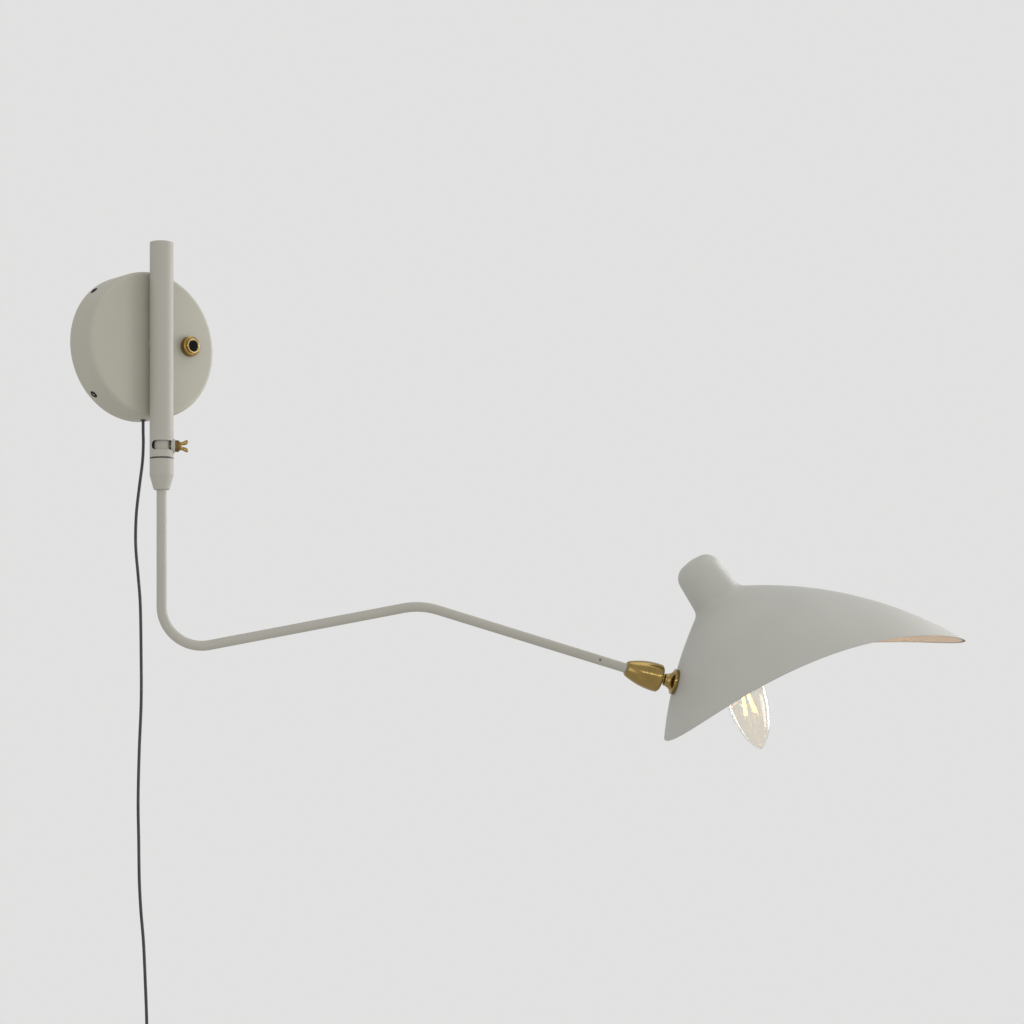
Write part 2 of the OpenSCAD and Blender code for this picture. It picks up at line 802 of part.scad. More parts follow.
module lamp_holder() {
    color("#222222") in_bulb() difference() {
        union() {
            rod(holder_r, holder_back, holder_mouth);
            translate([0, 0, holder_mouth - 6]) tube(holder_r + 1.2, holder_r - 1, 0, 2.5);
        }
        rod(7.4, -1.5, holder_mouth + 1);
        rod(5, holder_back - 1, holder_back + 5);
        rod(3, holder_back, 0);
    }
}

// Two-core lead from the stud's end, round the side of the bracket and over into the holder's nipple.
module lamp_lead() {
    reach = stud_end + 0.5;
    start = [ball_reach + reach * cos(stud_angle), 0, ball_z - reach * sin(stud_angle)];
    top = bulb_tip - (bulb_length - holder_back + 6) * [cos(bulb_angle), -sin(bulb_angle)];
    over = [top[0], 0, top[1]];
    line = smooth([
        start, start + [5, 0, 3], start + [11, 5, 20], over + [-14, 9.5, -22], over + [-9, 10, -6],
        over + [-4, 7, 5], over + [-0.5, 1, 5], over + [0, 0, -1]
    ], 4);
    color("gainsboro") in_head() swept(line, 1.4, [0, 1, 0]);
}

module bulb_cap() {
    color("silver") in_bulb() {
        rod(2.2, 0, 1.5);
        difference() {
            union() {
                translate([0, 0, 1.5]) cylinder(r1 = 3.2, r2 = 6.6, h = 3);
                rod(6.9, 4.5, bulb_cap_length);
            }
            translate([0, 0, 5.5]) cylinder(r = 6.2, h = bulb_cap_length);
        }
    }
}

// The candle glass in half section: [along, out] from the cap to the tip.
function glass_outline(shrink) =
    let (
        belly = bulb_d / 2 - shrink, neck = 6.2 - shrink, start = bulb_cap_length - 4,
        tip = bulb_length - shrink, widest = bulb_cap_length + 27
    )
    concat(
        [[start, neck], [bulb_cap_length, neck]],
        [for (i = [1:10]) let (t = i / 10)
            [bulb_cap_length + (widest - bulb_cap_length) * t, neck + (belly - neck) * sin(90 * t)]],
        [for (i = [1:14]) let (a = 90 * i / 14)
            [widest + (tip - widest) * sin(a), belly * pow(cos(a), 1.25)]]);

module bulb_glass() {
    outside = [for (p = glass_outline(0)) [p[1], p[0]]];
    inside = [for (p = glass_outline(0.8)) [p[1], p[0]]];
    color("lightyellow", 0.4) in_bulb() rotate_extrude() polygon(concat(outside, backwards(inside)));
}

module bulb_stem() {
    color("wheat") in_bulb() {
        translate([0, 0, 8]) cylinder(r1 = 5.3, r2 = 2.2, h = 22);
        rod(1.6, 29, 40);
        for (a = [0:90:270]) rotate([0, 0, a + 45]) {
            translate([1.2, 0, 39]) rotate([0, 12, 0]) cylinder(r = 0.8, h = 30, $fn = 16);
        }
    }
}

// ---- Mains cord ----

// Hand-set route of the cord from the bush down the wall to the coil.
cord_points = [
    [0, -14.5, -61.5], [0, -14.5, -70], [0.2, -14.5, -80], [0, -13.5, -95], [-1.3, -11, -115],
    [-2.2, -8, -138], [-1.2, -5.8, -162], [2, -4.5, -186], [4.5, -4, -210], [6, -3, -248], [6.5, -2.5, -288],
    [5, -2, -328], [4, -2, -368], [4.6, -2, -400], [5.2, -2, -431], [6.8, -2, -456], [9.2, -2, -480],
    [10.6, -2.6, -512], [11.4, -3.3, -540], [11.5, -3.4, -555], [11.5, -3.4, -566]
];
coil_centre = [11.5 - coil_d / 2 + cord_d / 2, 0, -575];
coil_back = 3.4 - cord_d / 2;
coil_width = (coil_turns + 1) * cord_d;
tail_points = [
    [14, -5.9, -580], [14, -6.1, -587], [14, -6.8, -594], [14, -7.5, -600], [14, -7.5, -606]
];
plug_top = [14, -7.5, -604];

module mains_cord() {
    color("#222222") swept(smooth(cord_points, 4), cord_d / 2, [1, 0, 0]);
}

module cord_coil() {
    color("#222222") translate(coil_centre) rotate([90, 0, 0])
        tube(coil_d / 2 + cord_d, coil_d / 2 - cord_d, coil_back, coil_back + coil_width);
}

// Strap round the coil's two layers, at the top.
module cord_tie() {
    strap_w = 6;
    strap_t = 1.2;
    slack = 0.5;
    inside = [strap_w + 2, coil_width + 2 * slack, 2 * cord_d + 2 * slack + 0.6];
    color("#444444")
        translate(coil_centre + [0, -coil_back - coil_width / 2, coil_d / 2 - 0.2]) difference() {
            cube([strap_w, inside[1] + 2 * strap_t, inside[2] + 2 * strap_t], center = true);
            cube(inside, center = true);
        }
}

module cord_tail() {
    color("#222222") swept(smooth(tail_points, 2), cord_d / 2, [1, 0, 0]);
}

module plug_body() {
    color("#1a1a1a") translate(plug_top) rotate([180, 0, 0]) difference() {
        union() {
            cylinder(r1 = 2.4, r2 = 4.2, h = 12);
            hull() {
                translate([0, 0, 11]) cube([9, 8, 2], center = true);
                translate([0, 0, 22]) cube([24, 12, 2], center = true);
                translate([0, 0, 38]) cube([33, 12, 2], center = true);
            }
        }
        translate([0, 0, -1]) cylinder(r = cord_d / 2, h = 3);
        for (x = [-9.3, 9.3]) translate([x, 0, 33]) cylinder(r = 2, h = 20);
    }
}

module plug_pins() {
    color("silver") translate(plug_top) rotate([180, 0, 0]) for (x = [-9.3, 9.3]) translate([x, 0, 33]) {
        cylinder(r = 2, h = 24);
        translate([0, 0, 24]) cylinder(r1 = 2, r2 = 1.2, h = 1);
    }
}

wall_bracket();
canopy();
canopy_screws();
cord_bush();
cord_clamp();
terminal_block();
terminal_screws();
supply_leads();
switch_body();
switch_nut();
switch_button();
post_tube();
post_cap();
post_spacers();
post_nipple();
post_nut();
post_screws();
upper_bush();
lower_bush();
thrust_washer();
arm_collar();
arm_spigot();
retaining_clip();
arm_tube();
arm_lead();
lock_saddle();
lock_collar();
wing_screw();
swivel_barrel();
grub_screws();
seat_spring();
socket_ring();
ball_seat();
ball();
stud();
shade_flange();
shade();
stud_washer();
stud_nut();
holder_bracket();
holder_nipple();
lamp_holder();
lamp_lead();
bulb_cap();
bulb_glass();
bulb_stem();
mains_cord();
cord_coil();
cord_tie();
cord_tail();
plug_body();
plug_pins();
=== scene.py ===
"""Looks of a swing arm wall lamp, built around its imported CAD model.

Meshes are drawn in millimetres in the local frames of part.scad (wall, post, arm, screw, barrel, stud,
shade, bulb), and each frame's matrix brings them into the row frame in metres.
"""

import json
from math import atan2, cos, degrees, hypot, pi, radians, sin, sqrt, tan

import bmesh
import bpy
from mathutils import Matrix, Vector


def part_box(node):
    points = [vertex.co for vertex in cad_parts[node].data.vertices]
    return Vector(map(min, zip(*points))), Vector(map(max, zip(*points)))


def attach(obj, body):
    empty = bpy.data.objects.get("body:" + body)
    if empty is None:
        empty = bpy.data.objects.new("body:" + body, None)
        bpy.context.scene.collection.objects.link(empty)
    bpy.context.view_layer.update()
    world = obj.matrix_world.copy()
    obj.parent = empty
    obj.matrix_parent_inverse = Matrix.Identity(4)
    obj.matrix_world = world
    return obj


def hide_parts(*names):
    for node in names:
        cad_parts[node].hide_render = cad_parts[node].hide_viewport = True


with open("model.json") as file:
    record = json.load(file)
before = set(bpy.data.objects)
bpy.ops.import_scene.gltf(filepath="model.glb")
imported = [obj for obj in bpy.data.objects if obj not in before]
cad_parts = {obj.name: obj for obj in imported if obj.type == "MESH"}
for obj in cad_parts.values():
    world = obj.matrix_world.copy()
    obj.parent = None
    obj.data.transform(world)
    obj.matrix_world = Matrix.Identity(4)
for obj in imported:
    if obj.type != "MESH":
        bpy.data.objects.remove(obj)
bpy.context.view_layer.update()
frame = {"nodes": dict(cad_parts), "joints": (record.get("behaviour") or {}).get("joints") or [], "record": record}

MM = 0.001

# ---------------- Sizes, in millimetres and degrees


def node_size(node):
    low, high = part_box(node)
    return (high - low) / MM


def joint_place(name):
    found = next(j for j in frame["joints"] if j["name"] == name)
    return Vector(found["pos_m"]) / MM


CANOPY_R = node_size("canopy").x / 2
CANOPY_DEPTH = node_size("canopy").y
CANOPY_WALL = 1.5
CANOPY_EDGE = 4.0
SIDE_SCREW_DEPTH = 7.5
SIDE_SCREW_ANGLES = (45, 135, 225, 315)
SWITCH_AT = (34.0, 2.0)
BUSH_R = 6.0
BUTTON_R = 4.6

POST_WALL = 1.5
POST_BORE_R = node_size("post_cap").x / 2
POST_R = POST_BORE_R + POST_WALL
POST_STANDOFF = -joint_place("arm_swing").y
POST_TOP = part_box("post_tube")[1].z / MM
POST_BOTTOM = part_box("post_tube")[0].z / MM
SWIVEL_Z = joint_place("arm_swing").z
SLOT_Z = joint_place("screw_turn").z
SLOT_H = 7.5
SLOT_END = 67

COLLAR_TOP = SWIVEL_Z - 0.6
COLLAR_TAPER = COLLAR_TOP - 13.1
COLLAR_BOTTOM = COLLAR_TOP - 24.8
COLLAR_BOTTOM_R = 6.25
SCREW_R = 2.0
ARM_SWING = 58
ARM_R = 4.0
BEND_R = 32
RISE = 10.3
DROP = 17.3
KNEE = Vector((209.9, -213.3))
KNEE_R = 60

BALL_CENTRE = joint_place("shade_tilt")
BALL_REACH = hypot(BALL_CENTRE.x, BALL_CENTRE.y + POST_STANDOFF)
BARREL_BACK = -26
BARREL_FRONT = 4.9
BARREL_BACK_R = 6.5
BARREL_FRONT_R = 11.8
RING_R = 9.4
BALL_R = 7.5
HEAD_TURN = 6
STUD_SLOPE = 14.3
STUD_R = 3.2
STUD_REACH = 18.65

SHADE_AXIS = 56
NECK_TOP = Vector((441.5, -177.4))
NECK_R = 22.9
NECK_H = 41.8
SHADE_WALL = 1.2
RIM_CUT_CENTRE = Vector((626.5, -552.3))
RIM_CUT_R = 306.2

BULB_SLOPE = 75
BULB_TIP = Vector((497.7, -336.8))
BULB_LENGTH = 98
BULB_R = 17.5
BULB_BELLY = 27
BULB_CAP_LENGTH = 24
HOLDER_R = 13
HOLDER_BACK = -21
HOLDER_MOUTH = 22

CORD_D = 2.5
COIL_D = 27.0
COIL_TURNS = 8
CORD_EXIT = Vector((0, -14.5, -61.5))
# The cord's route from the bush to the coil, as in part.scad.
CORD_POINTS = [
    (0, -14.5, -61.5), (0, -14.5, -70), (0.2, -14.5, -80), (0, -13.5, -95), (-1.3, -11, -115),
    (-2.2, -8, -138), (-1.2, -5.8, -162), (2, -4.5, -186), (4.5, -4, -210), (6, -3, -248),
    (6.5, -2.5, -288), (5, -2, -328), (4, -2, -368), (4.6, -2, -400), (5.2, -2, -431), (6.8, -2, -456),
    (9.2, -2, -480), (10.6, -2.6, -512), (11.4, -3.3, -540), (11.5, -3.4, -555), (11.5, -3.4, -566),
]
COIL_CENTRE = Vector((11.5 - COIL_D / 2 + CORD_D / 2, -3.4, -575))
TAIL_POINTS = [(14, -5.9, -580), (14, -6.1, -587), (14, -6.8, -594), (14, -7.5, -600), (14, -7.5, -606)]
PLUG_TOP = Vector((14, -7.5, -604))

# ---------------- Frames


def move_by(x, y, z):
    return Matrix.Translation((x, y, z))


def turn_by(angle, axis):
    return Matrix.Rotation(radians(angle), 4, axis)


def at_ball(base, slope):
    """Frame with its origin at the ball's centre and +Z along a line that slopes down by slope."""
    return base @ move_by(BALL_REACH, 0, BALL_CENTRE.z) @ turn_by(90 + slope, "Y")


ROW = Matrix.Scale(MM, 4)
WALL = ROW @ turn_by(90, "X")
POST = ROW @ move_by(0, -POST_STANDOFF, 0)
ARM = POST @ turn_by(ARM_SWING - 90, "Z")
SCREW = ARM @ move_by(0, 0, SLOT_Z) @ turn_by(90, "Y")
HEAD = ARM @ move_by(BALL_REACH, 0, 0) @ turn_by(-HEAD_TURN, "Z") @ move_by(-BALL_REACH, 0, 0)
SHADE = HEAD @ move_by(NECK_TOP.x, 0, NECK_TOP.y) @ turn_by(90 + SHADE_AXIS, "Y")
AT_BULB_TIP = HEAD @ move_by(BULB_TIP.x, 0, BULB_TIP.y) @ turn_by(90 + BULB_SLOPE, "Y")
BULB = AT_BULB_TIP @ move_by(0, 0, -BULB_LENGTH)
BARREL = at_ball(ARM, DROP)
STUD = at_ball(HEAD, STUD_SLOPE)


# ---------------- Camera, lights and world


def put_in_scene(obj):
    bpy.context.scene.collection.objects.link(obj)


def add_camera():
    place, yaw, pitch, roll = (-0.917, -1.367, -0.302), radians(44.687), radians(5.73), radians(-1.01)
    forward = Vector((sin(yaw) * cos(pitch), cos(yaw) * cos(pitch), sin(pitch)))
    level = Vector((cos(yaw), -sin(yaw), 0))
    above = level.cross(forward)
    right = cos(roll) * level + sin(roll) * above
    up = cos(roll) * above - sin(roll) * level
    data = bpy.data.cameras.new("camera")
    data.sensor_width = 36
    data.lens = 70
    camera = bpy.data.objects.new("camera", data)
    turn = Matrix((right, up, -forward)).transposed().to_4x4()
    camera.matrix_world = move_by(*place) @ turn
    put_in_scene(camera)
    bpy.context.scene.camera = camera


def add_area_light(name, place, target, size, power):
    data = bpy.data.lights.new(name, "AREA")
    data.shape = "RECTANGLE"
    data.size, data.size_y = size
    data.energy = power
    light = bpy.data.objects.new(name, data)
    light.location = place
    light.rotation_mode = "QUATERNION"
    light.rotation_quaternion = (Vector(target) - Vector(place)).to_track_quat("-Z", "Y")
    put_in_scene(light)


def set_inputs(node, values):
    for name, value in values.items():
        node.inputs[name].default_value = value


def add_world():
    """Pale backdrop, and a soft room light that is brighter from above than from below."""
    world = bpy.data.worlds.new("studio")
    world.use_nodes = True
    nodes, links = world.node_tree.nodes, world.node_tree.links
    nodes.clear()
    place = nodes.new("ShaderNodeTexCoord")
    height = nodes.new("ShaderNodeSeparateXYZ")
    links.new(place.outputs["Generated"], height.inputs[0])
    spread = nodes.new("ShaderNodeMapRange")
    set_inputs(spread, {"From Min": -1, "From Max": 1})
    links.new(height.outputs["Z"], spread.inputs["Value"])
    ramp = nodes.new("ShaderNodeValToRGB")
    ramp.color_ramp.elements[0].color = (0.645, 0.640, 0.625, 1)
    ramp.color_ramp.elements[1].color = (0.738, 0.738, 0.744, 1)
    links.new(spread.outputs["Result"], ramp.inputs["Fac"])
    room = nodes.new("ShaderNodeBackground")
    links.new(ramp.outputs["Color"], room.inputs["Color"])
    backdrop = nodes.new("ShaderNodeBackground")
    backdrop.inputs["Color"].default_value = (0.755, 0.757, 0.752, 1)
    seen = nodes.new("ShaderNodeLightPath")
    choose = nodes.new("ShaderNodeMixShader")
    links.new(seen.outputs["Is Camera Ray"], choose.inputs["Fac"])
    links.new(room.outputs[0], choose.inputs[1])
    links.new(backdrop.outputs[0], choose.inputs[2])
    output = nodes.new("ShaderNodeOutputWorld")
    links.new(choose.outputs[0], output.inputs["Surface"])
    bpy.context.scene.world = world


bpy.context.scene.view_settings.view_transform = "Standard"
add_camera()
add_world()
add_area_light("key", (1.8, -2.0, -0.4), (0.3, -0.2, -0.2), (1.0, 1.0), 10.5)
add_area_light("fill", (-2.2, -1.1, 0.1), (0.1, -0.1, -0.2), (1.4, 1.8), 7.5)
add_area_light("top", (0.9, -0.5, 2.0), (0.35, -0.3, -0.25), (1.6, 1.4), 7.5)
add_area_light("side", (2.4, -0.5, 0.2), (0.3, -0.2, -0.2), (0.7, 1.6), 26)
add_area_light("strip", (-0.41, -2.16, 0.16), (0.33, -0.25, -0.27), (1.6, 0.05), 3.2)

# ---------------- Materials

NOISE_LOW, NOISE_HIGH = 0.3, 0.7


def shader_tree(name):
    material = bpy.data.materials.new(name)
    material.use_nodes = True
    nodes, links = material.node_tree.nodes, material.node_tree.links
    return material, nodes, links, nodes["Principled BSDF"]


def noise(nodes, links, scale, detail):
    """Noise over the object's own coordinates, in waves per metre."""
    place = nodes.new("ShaderNodeTexCoord")
    texture = nodes.new("ShaderNodeTexNoise")
    set_inputs(texture, {"Scale": scale, "Detail": detail})
    links.new(place.outputs["Object"], texture.inputs["Vector"])
    return texture.outputs["Fac"]


def rings(nodes, links, scale):
    """Fine turning marks: noise along the turned outline only, read from the mesh's V coordinate."""
    place = nodes.new("ShaderNodeTexCoord")
    split = nodes.new("ShaderNodeSeparateXYZ")
    links.new(place.outputs["UV"], split.inputs[0])
    texture = nodes.new("ShaderNodeTexNoise")
    texture.noise_dimensions = "1D"
    set_inputs(texture, {"Scale": scale, "Detail": 3})
    links.new(split.outputs["Y"], texture.inputs["W"])
    return texture.outputs["Fac"]


def spread_between(nodes, links, source, low, high):
    """Takes noise, which lies mostly from NOISE_LOW to NOISE_HIGH, to the range from low to high."""
    ramp = nodes.new("ShaderNodeMapRange")
    set_inputs(ramp, {"From Min": NOISE_LOW, "From Max": NOISE_HIGH, "To Min": low, "To Max": high})
    links.new(source, ramp.inputs["Value"])
    return ramp.outputs["Result"]


def colours_between(nodes, links, source, dark, light):
    ramp = nodes.new("ShaderNodeValToRGB")
    for element, place, colour in zip(ramp.color_ramp.elements, (NOISE_LOW, NOISE_HIGH), (dark, light)):
        element.position = place
        element.color = (*colour, 1)
    links.new(source, ramp.inputs["Fac"])
    return ramp.outputs["Color"]


def add_bump(nodes, links, shader, source, height):
    bump = nodes.new("ShaderNodeBump")
    set_inputs(bump, {"Strength": 0.6, "Distance": height})
    links.new(source, bump.inputs["Height"])
    links.new(bump.outputs["Normal"], shader.inputs["Normal"])


def make_material(
    name, dark, light, rough, metal=0, patch=60, grain=1500, grain_height=0.00003, turned=False,
    gloss=0.5,
):
    """Colour that drifts between dark and light, roughness from rough[0] to rough[1], and a fine grain."""
    material, nodes, links, shader = shader_tree(name)
    set_inputs(shader, {"Metallic": metal, "Specular IOR Level": gloss})
    drift = noise(nodes, links, patch, 3)
    fine = rings(nodes, links, grain) if turned else noise(nodes, links, grain, 2)
    links.new(colours_between(nodes, links, drift, dark, light), shader.inputs["Base Color"])
    rough_source = fine if turned else noise(nodes, links, patch * 4, 4)
    links.new(spread_between(nodes, links, rough_source, *rough), shader.inputs["Roughness"])
    add_bump(nodes, links, shader, fine, grain_height)
    return material


def make_paint(name, dark, light):
    """Satin powder paint: a faint orange-peel surface."""
    return make_material(name, dark, light, (0.48, 0.58), patch=18, grain=1400, grain_height=0.000012)


def make_glass():
    material, nodes, links, shader = shader_tree("bulb_glass_clear")
    set_inputs(shader, {"Transmission Weight": 1, "IOR": 1.45})
    # Faint cream emission on the glass: a painted glow standing in for the filament's light inside it.
    set_inputs(shader, {"Emission Color": (1.0, 0.88, 0.60, 1), "Emission Strength": 0.01})
    drift = noise(nodes, links, 90, 2)
    tint = colours_between(nodes, links, drift, (0.94, 0.925, 0.875), (0.955, 0.94, 0.895))
    links.new(tint, shader.inputs["Base Color"])
    links.new(spread_between(nodes, links, drift, 0.0, 0.03), shader.inputs["Roughness"])
    return material


def make_filament():
    material, nodes, links, shader = shader_tree("filament_glow")
    speckle = noise(nodes, links, 900, 2)
    links.new(
        colours_between(nodes, links, speckle, (0.9, 0.5, 0.15), (1.0, 0.7, 0.3)), shader.inputs["Base Color"]
    )
    links.new(
        colours_between(nodes, links, speckle, (1.0, 0.50, 0.16), (1.0, 0.62, 0.26)),
        shader.inputs["Emission Color"],
    )
    set_inputs(shader, {"Emission Strength": 2.5})
    return material


PAINT = make_paint("paint_greige", (0.400, 0.386, 0.321), (0.425, 0.410, 0.343))
# A darker copy of the greige paint: painted shade on the post, cap, collar, arm, boss, spacers and spigot.
POST_PAINT_SHADED = make_paint("paint_post_shaded", (0.380, 0.366, 0.318), (0.404, 0.390, 0.340))
# A lighter, cooler copy of the greige paint; its lightness is painted light on the shade.
SHADE_PAINT_LIT = make_paint("paint_shade_lit", (0.420, 0.417, 0.378), (0.445, 0.440, 0.400))
# Dark brown on the rim's thin edge: painted shade along the rim.
RIM_EDGE_PAINTED_SHADE = make_paint("rim_edge_painted_shade", (0.100, 0.078, 0.058), (0.140, 0.112, 0.085))
BRASS = make_material(
    "brass_turned", (0.285, 0.196, 0.064), (0.345, 0.240, 0.082), (0.15, 0.22), metal=1, patch=120,
    grain=7, grain_height=0.000005, turned=True,
)
BRASS_PLAIN = make_material(
    "brass_plain", (0.30, 0.205, 0.065), (0.37, 0.255, 0.085), (0.22, 0.32), metal=1, patch=200,
    grain=2600, grain_height=0.000008,
)
AGED_BRASS = make_material(
    "brass_aged", (0.12, 0.065, 0.03), (0.20, 0.12, 0.05), (0.30, 0.42), metal=1, patch=300,
    grain=2600, grain_height=0.000008,
)
BRIGHT_BRASS = make_material(
    "brass_bright", (0.58, 0.43, 0.19), (0.66, 0.50, 0.24), (0.12, 0.2), metal=1, patch=200,
    grain=2.5, grain_height=0.000008, turned=True,
)
ZINC = make_material("zinc", (0.45, 0.46, 0.47), (0.62, 0.62, 0.60), (0.28, 0.48), metal=1, patch=160)
NICKEL = make_material(
    "nickel", (0.62, 0.61, 0.58), (0.70, 0.69, 0.66), (0.16, 0.26), metal=1, patch=200,
    grain=2.5, grain_height=0.00001, turned=True,
)
BLACK_STEEL = make_material(
    "black_steel", (0.003, 0.003, 0.003), (0.008, 0.008, 0.008), (0.4, 0.55), patch=150, gloss=0.15
)
BLACK_GLOSS = make_material(
    "black_gloss", (0.002, 0.002, 0.002), (0.004, 0.004, 0.004), (0.10, 0.18), grain_height=0.000004,
    gloss=0.12,
)
PHENOLIC = make_material("phenolic", (0.012, 0.012, 0.012), (0.024, 0.022, 0.02), (0.32, 0.45), patch=150)
NYLON = make_material("nylon", (0.62, 0.60, 0.53), (0.70, 0.68, 0.61), (0.4, 0.55), patch=100)
CORD_JACKET = make_material(
    "cord_jacket", (0.020, 0.021, 0.022), (0.034, 0.035, 0.036), (0.38, 0.5), patch=80, grain=2200,
    grain_height=0.00001,
)
PLUG_BLACK = make_material(
    "plug_black", (0.015, 0.015, 0.015), (0.025, 0.025, 0.025), (0.3, 0.45), patch=90
)
STRAP = make_material(
    "strap", (0.02, 0.02, 0.02), (0.05, 0.05, 0.05), (0.75, 0.9), patch=600, grain=2400,
    grain_height=0.00012,
)
GLASS = make_glass()
FILAMENT = make_filament()

# ---------------- Mesh building

BODY_OF = {n: b for b, ns in frame["record"]["behaviour"]["bodies"].items() for n in ns}


def finish_piece(name, bm, place, material, stands_for, sharp=38.0, parent_node=None, second=None):
    """Turns bm, in the millimetres of its frame, into a piece that rides with the CAD node it replaces.

    second is the material of the faces with material index 1."""
    bmesh.ops.recalc_face_normals(bm, faces=bm.faces)
    mesh = bpy.data.meshes.new(name)
    bm.to_mesh(mesh)
    bm.free()
    mesh.transform(place)
    mesh.shade_smooth()
    mesh.set_sharp_from_angle(angle=radians(sharp))
    mesh.materials.append(material)
    if second:
        mesh.materials.append(second)
    piece = bpy.data.objects.new(name, mesh)
    put_in_scene(piece)
    node = stands_for[0] if stands_for else parent_node
    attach(piece, BODY_OF[node])
    if stands_for:
        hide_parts(*stands_for)
    return piece


def soften(corners, steps=4):
    """Outline through corners, each (out, along, radius), with the corners rounded to their radius."""
    outline = []
    for i, (out, along, radius) in enumerate(corners):
        here = Vector((out, along))
        if radius == 0:
            outline.append(here)
            continue
        before = (Vector(corners[i - 1][:2]) - here).normalized()
        after = (Vector(corners[(i + 1) % len(corners)][:2]) - here).normalized()
        half = before.angle(after) / 2
        centre = here + (before + after).normalized() * radius / sin(half)
        first = here + before * radius / tan(half) - centre
        last = here + after * radius / tan(half) - centre
        turn = first.angle_signed(last)
        for k in range(steps + 1):
            part = turn * k / steps
            outline.append(centre + Matrix.Rotation(-part, 2) @ first)
    return outline


def arc_points(centre, radius, start, end, steps):
    """Points on an arc from angle start to angle end, in degrees."""
    angles = [radians(start + (end - start) * k / steps) for k in range(steps + 1)]
    return [Vector((centre[0] + radius * cos(a), centre[1] + radius * sin(a))) for a in angles]


def turned(bm, outline, steps=96, wave=None):
    """Adds the closed surface that outline, of (out, along) points, sweeps round Z, with V along it.

    wave(angle, out, along) may give another distance from the axis for a point at that angle."""
    uv = bm.loops.layers.uv.verify()
    rows, reach, at = [], [], 0.0
    for i, point in enumerate(outline):
        if i:
            at += (Vector(point) - Vector(outline[i - 1])).length
        reach.append(at)
        if point[0] < 1e-6:
            rows.append([bm.verts.new((0, 0, point[1]))] * steps)
            continue
        row = []
        for k in range(steps):
            angle = 2 * pi * k / steps
            out = wave(angle, point[0], point[1]) if wave else point[0]
            row.append(bm.verts.new((out * cos(angle), out * sin(angle), point[1])))
        rows.append(row)
    reach.append(at + (Vector(outline[0]) - Vector(outline[-1])).length)
    for i, a in enumerate(rows):
        b, high = rows[(i + 1) % len(rows)], reach[i + 1]
        for k in range(steps):
            m = (k + 1) % steps
            spots = {}
            for vertex, column, v in ((a[k], k, reach[i]), (b[k], k, high), (b[m], k + 1, high),
                                      (a[m], k + 1, reach[i])):
                spots.setdefault(vertex, (column / steps, v))
            if len(spots) > 2:
                for loop, spot in zip(bm.faces.new(list(spots)).loops, spots.values()):
                    loop[uv].uv = spot


def lathe(name, outline, place, material, stands_for, steps=96, sharp=38.0, wave=None, parent_node=None):
    bm = bmesh.new()
    turned(bm, outline, steps, wave=wave)
    return finish_piece(name, bm, place, material, stands_for, sharp, parent_node)


def cut_away(bm, cutter):
    """Takes the closed solid cutter out of the closed solid bm, and frees cutter."""
    pair = []
    for name, part in (("cut_solid", bm), ("cut_tool", cutter)):
        bmesh.ops.recalc_face_normals(part, faces=part.faces)
        mesh = bpy.data.meshes.new(name)
        part.to_mesh(mesh)
        pair.append(bpy.data.objects.new(name, mesh))
        put_in_scene(pair[-1])
    cutter.free()
    cut = pair[0].modifiers.new("cut", "BOOLEAN")
    cut.operation = "DIFFERENCE"
    cut.solver = "EXACT"
    cut.object = pair[1]
    graph = bpy.context.evaluated_depsgraph_get()
    result = bpy.data.meshes.new_from_object(pair[0].evaluated_get(graph))
    bm.clear()
    bm.from_mesh(result)
    bpy.data.meshes.remove(result)
    for piece in pair:
        bpy.data.meshes.remove(piece.data)


def add_face(bm, corners, side=0):
    """Adds a face with material index side, if at least three of its corners differ."""
    unique = list(dict.fromkeys(corners))
    if len(unique) > 2:
        bm.faces.new(unique).material_index = side


def join_rings(bm, rings, side=0):
    """Adds the faces between each ring of vertices and the next."""
    for one, two in zip(rings, rings[1:]):
        for k in range(len(one)):
            m = (k + 1) % len(one)
            add_face(bm, (one[k], two[k], two[m], one[m]), side)


def close_ends(bm, rings):
    """Adds a flat face on the first ring and one on the last."""
    bm.faces.new(rings[0][::-1])
    bm.faces.new(rings[-1])


def loft(bm, sections, steps):
    """Adds a closed solid through superellipse sections (z, half_x, half_y, power, shift_x)."""
    rows = []
    for z, half_x, half_y, power, shift in sections:
        row = []
        for k in range(steps):
            c, s = cos(2 * pi * k / steps), sin(2 * pi * k / steps)
            x = half_x * abs(c) ** (2 / power) * (1 if c >= 0 else -1)
            y = half_y * abs(s) ** (2 / power) * (1 if s >= 0 else -1)
            row.append(bm.verts.new((x + shift, y, z)))
        rows.append(row)
    join_rings(bm, rows)
    close_ends(bm, rows)


def swept_rod(bm, path, radius, steps):
    """Adds a round rod along path, points (x, z) in the frame's upright plane, with flat ends."""
    rows = []
    for i, point in enumerate(path):
        way = (path[min(i + 1, len(path) - 1)] - path[max(i - 1, 0)]).normalized()
        normal = Vector((-way.y, way.x))
        row = []
        for k in range(steps):
            c, s = radius * cos(2 * pi * k / steps), radius * sin(2 * pi * k / steps)
            row.append(bm.verts.new((point.x + normal.x * c, s, point.y + normal.y * c)))
        rows.append(row)
    join_rings(bm, rows)
    close_ends(bm, rows)


def add_part(bm, part, place):
    """Adds the mesh part to bm, placed by a matrix, and frees it."""
    bmesh.ops.transform(part, matrix=place, verts=part.verts)
    mesh = bpy.data.meshes.new("part")
    part.to_mesh(mesh)
    part.free()
    bm.from_mesh(mesh)
    bpy.data.meshes.remove(mesh)


def turned_copies(outline, steps, places):
    """A mesh with one turned copy of the outline at each of the places."""
    bm = bmesh.new()
    for place in places:
        part = bmesh.new()
        turned(part, outline, steps)
        add_part(bm, part, place)
    return bm


def ribbed(ribs, depth, least_out, start, end):
    """Wave for turned: rounded ribs on what lies between start and end, and least_out or more out."""
    def wave(angle, out, along):
        if out < least_out or not start <= along <= end:
            return out
        return out - depth * (0.5 + 0.5 * cos(angle * ribs))

    return wave


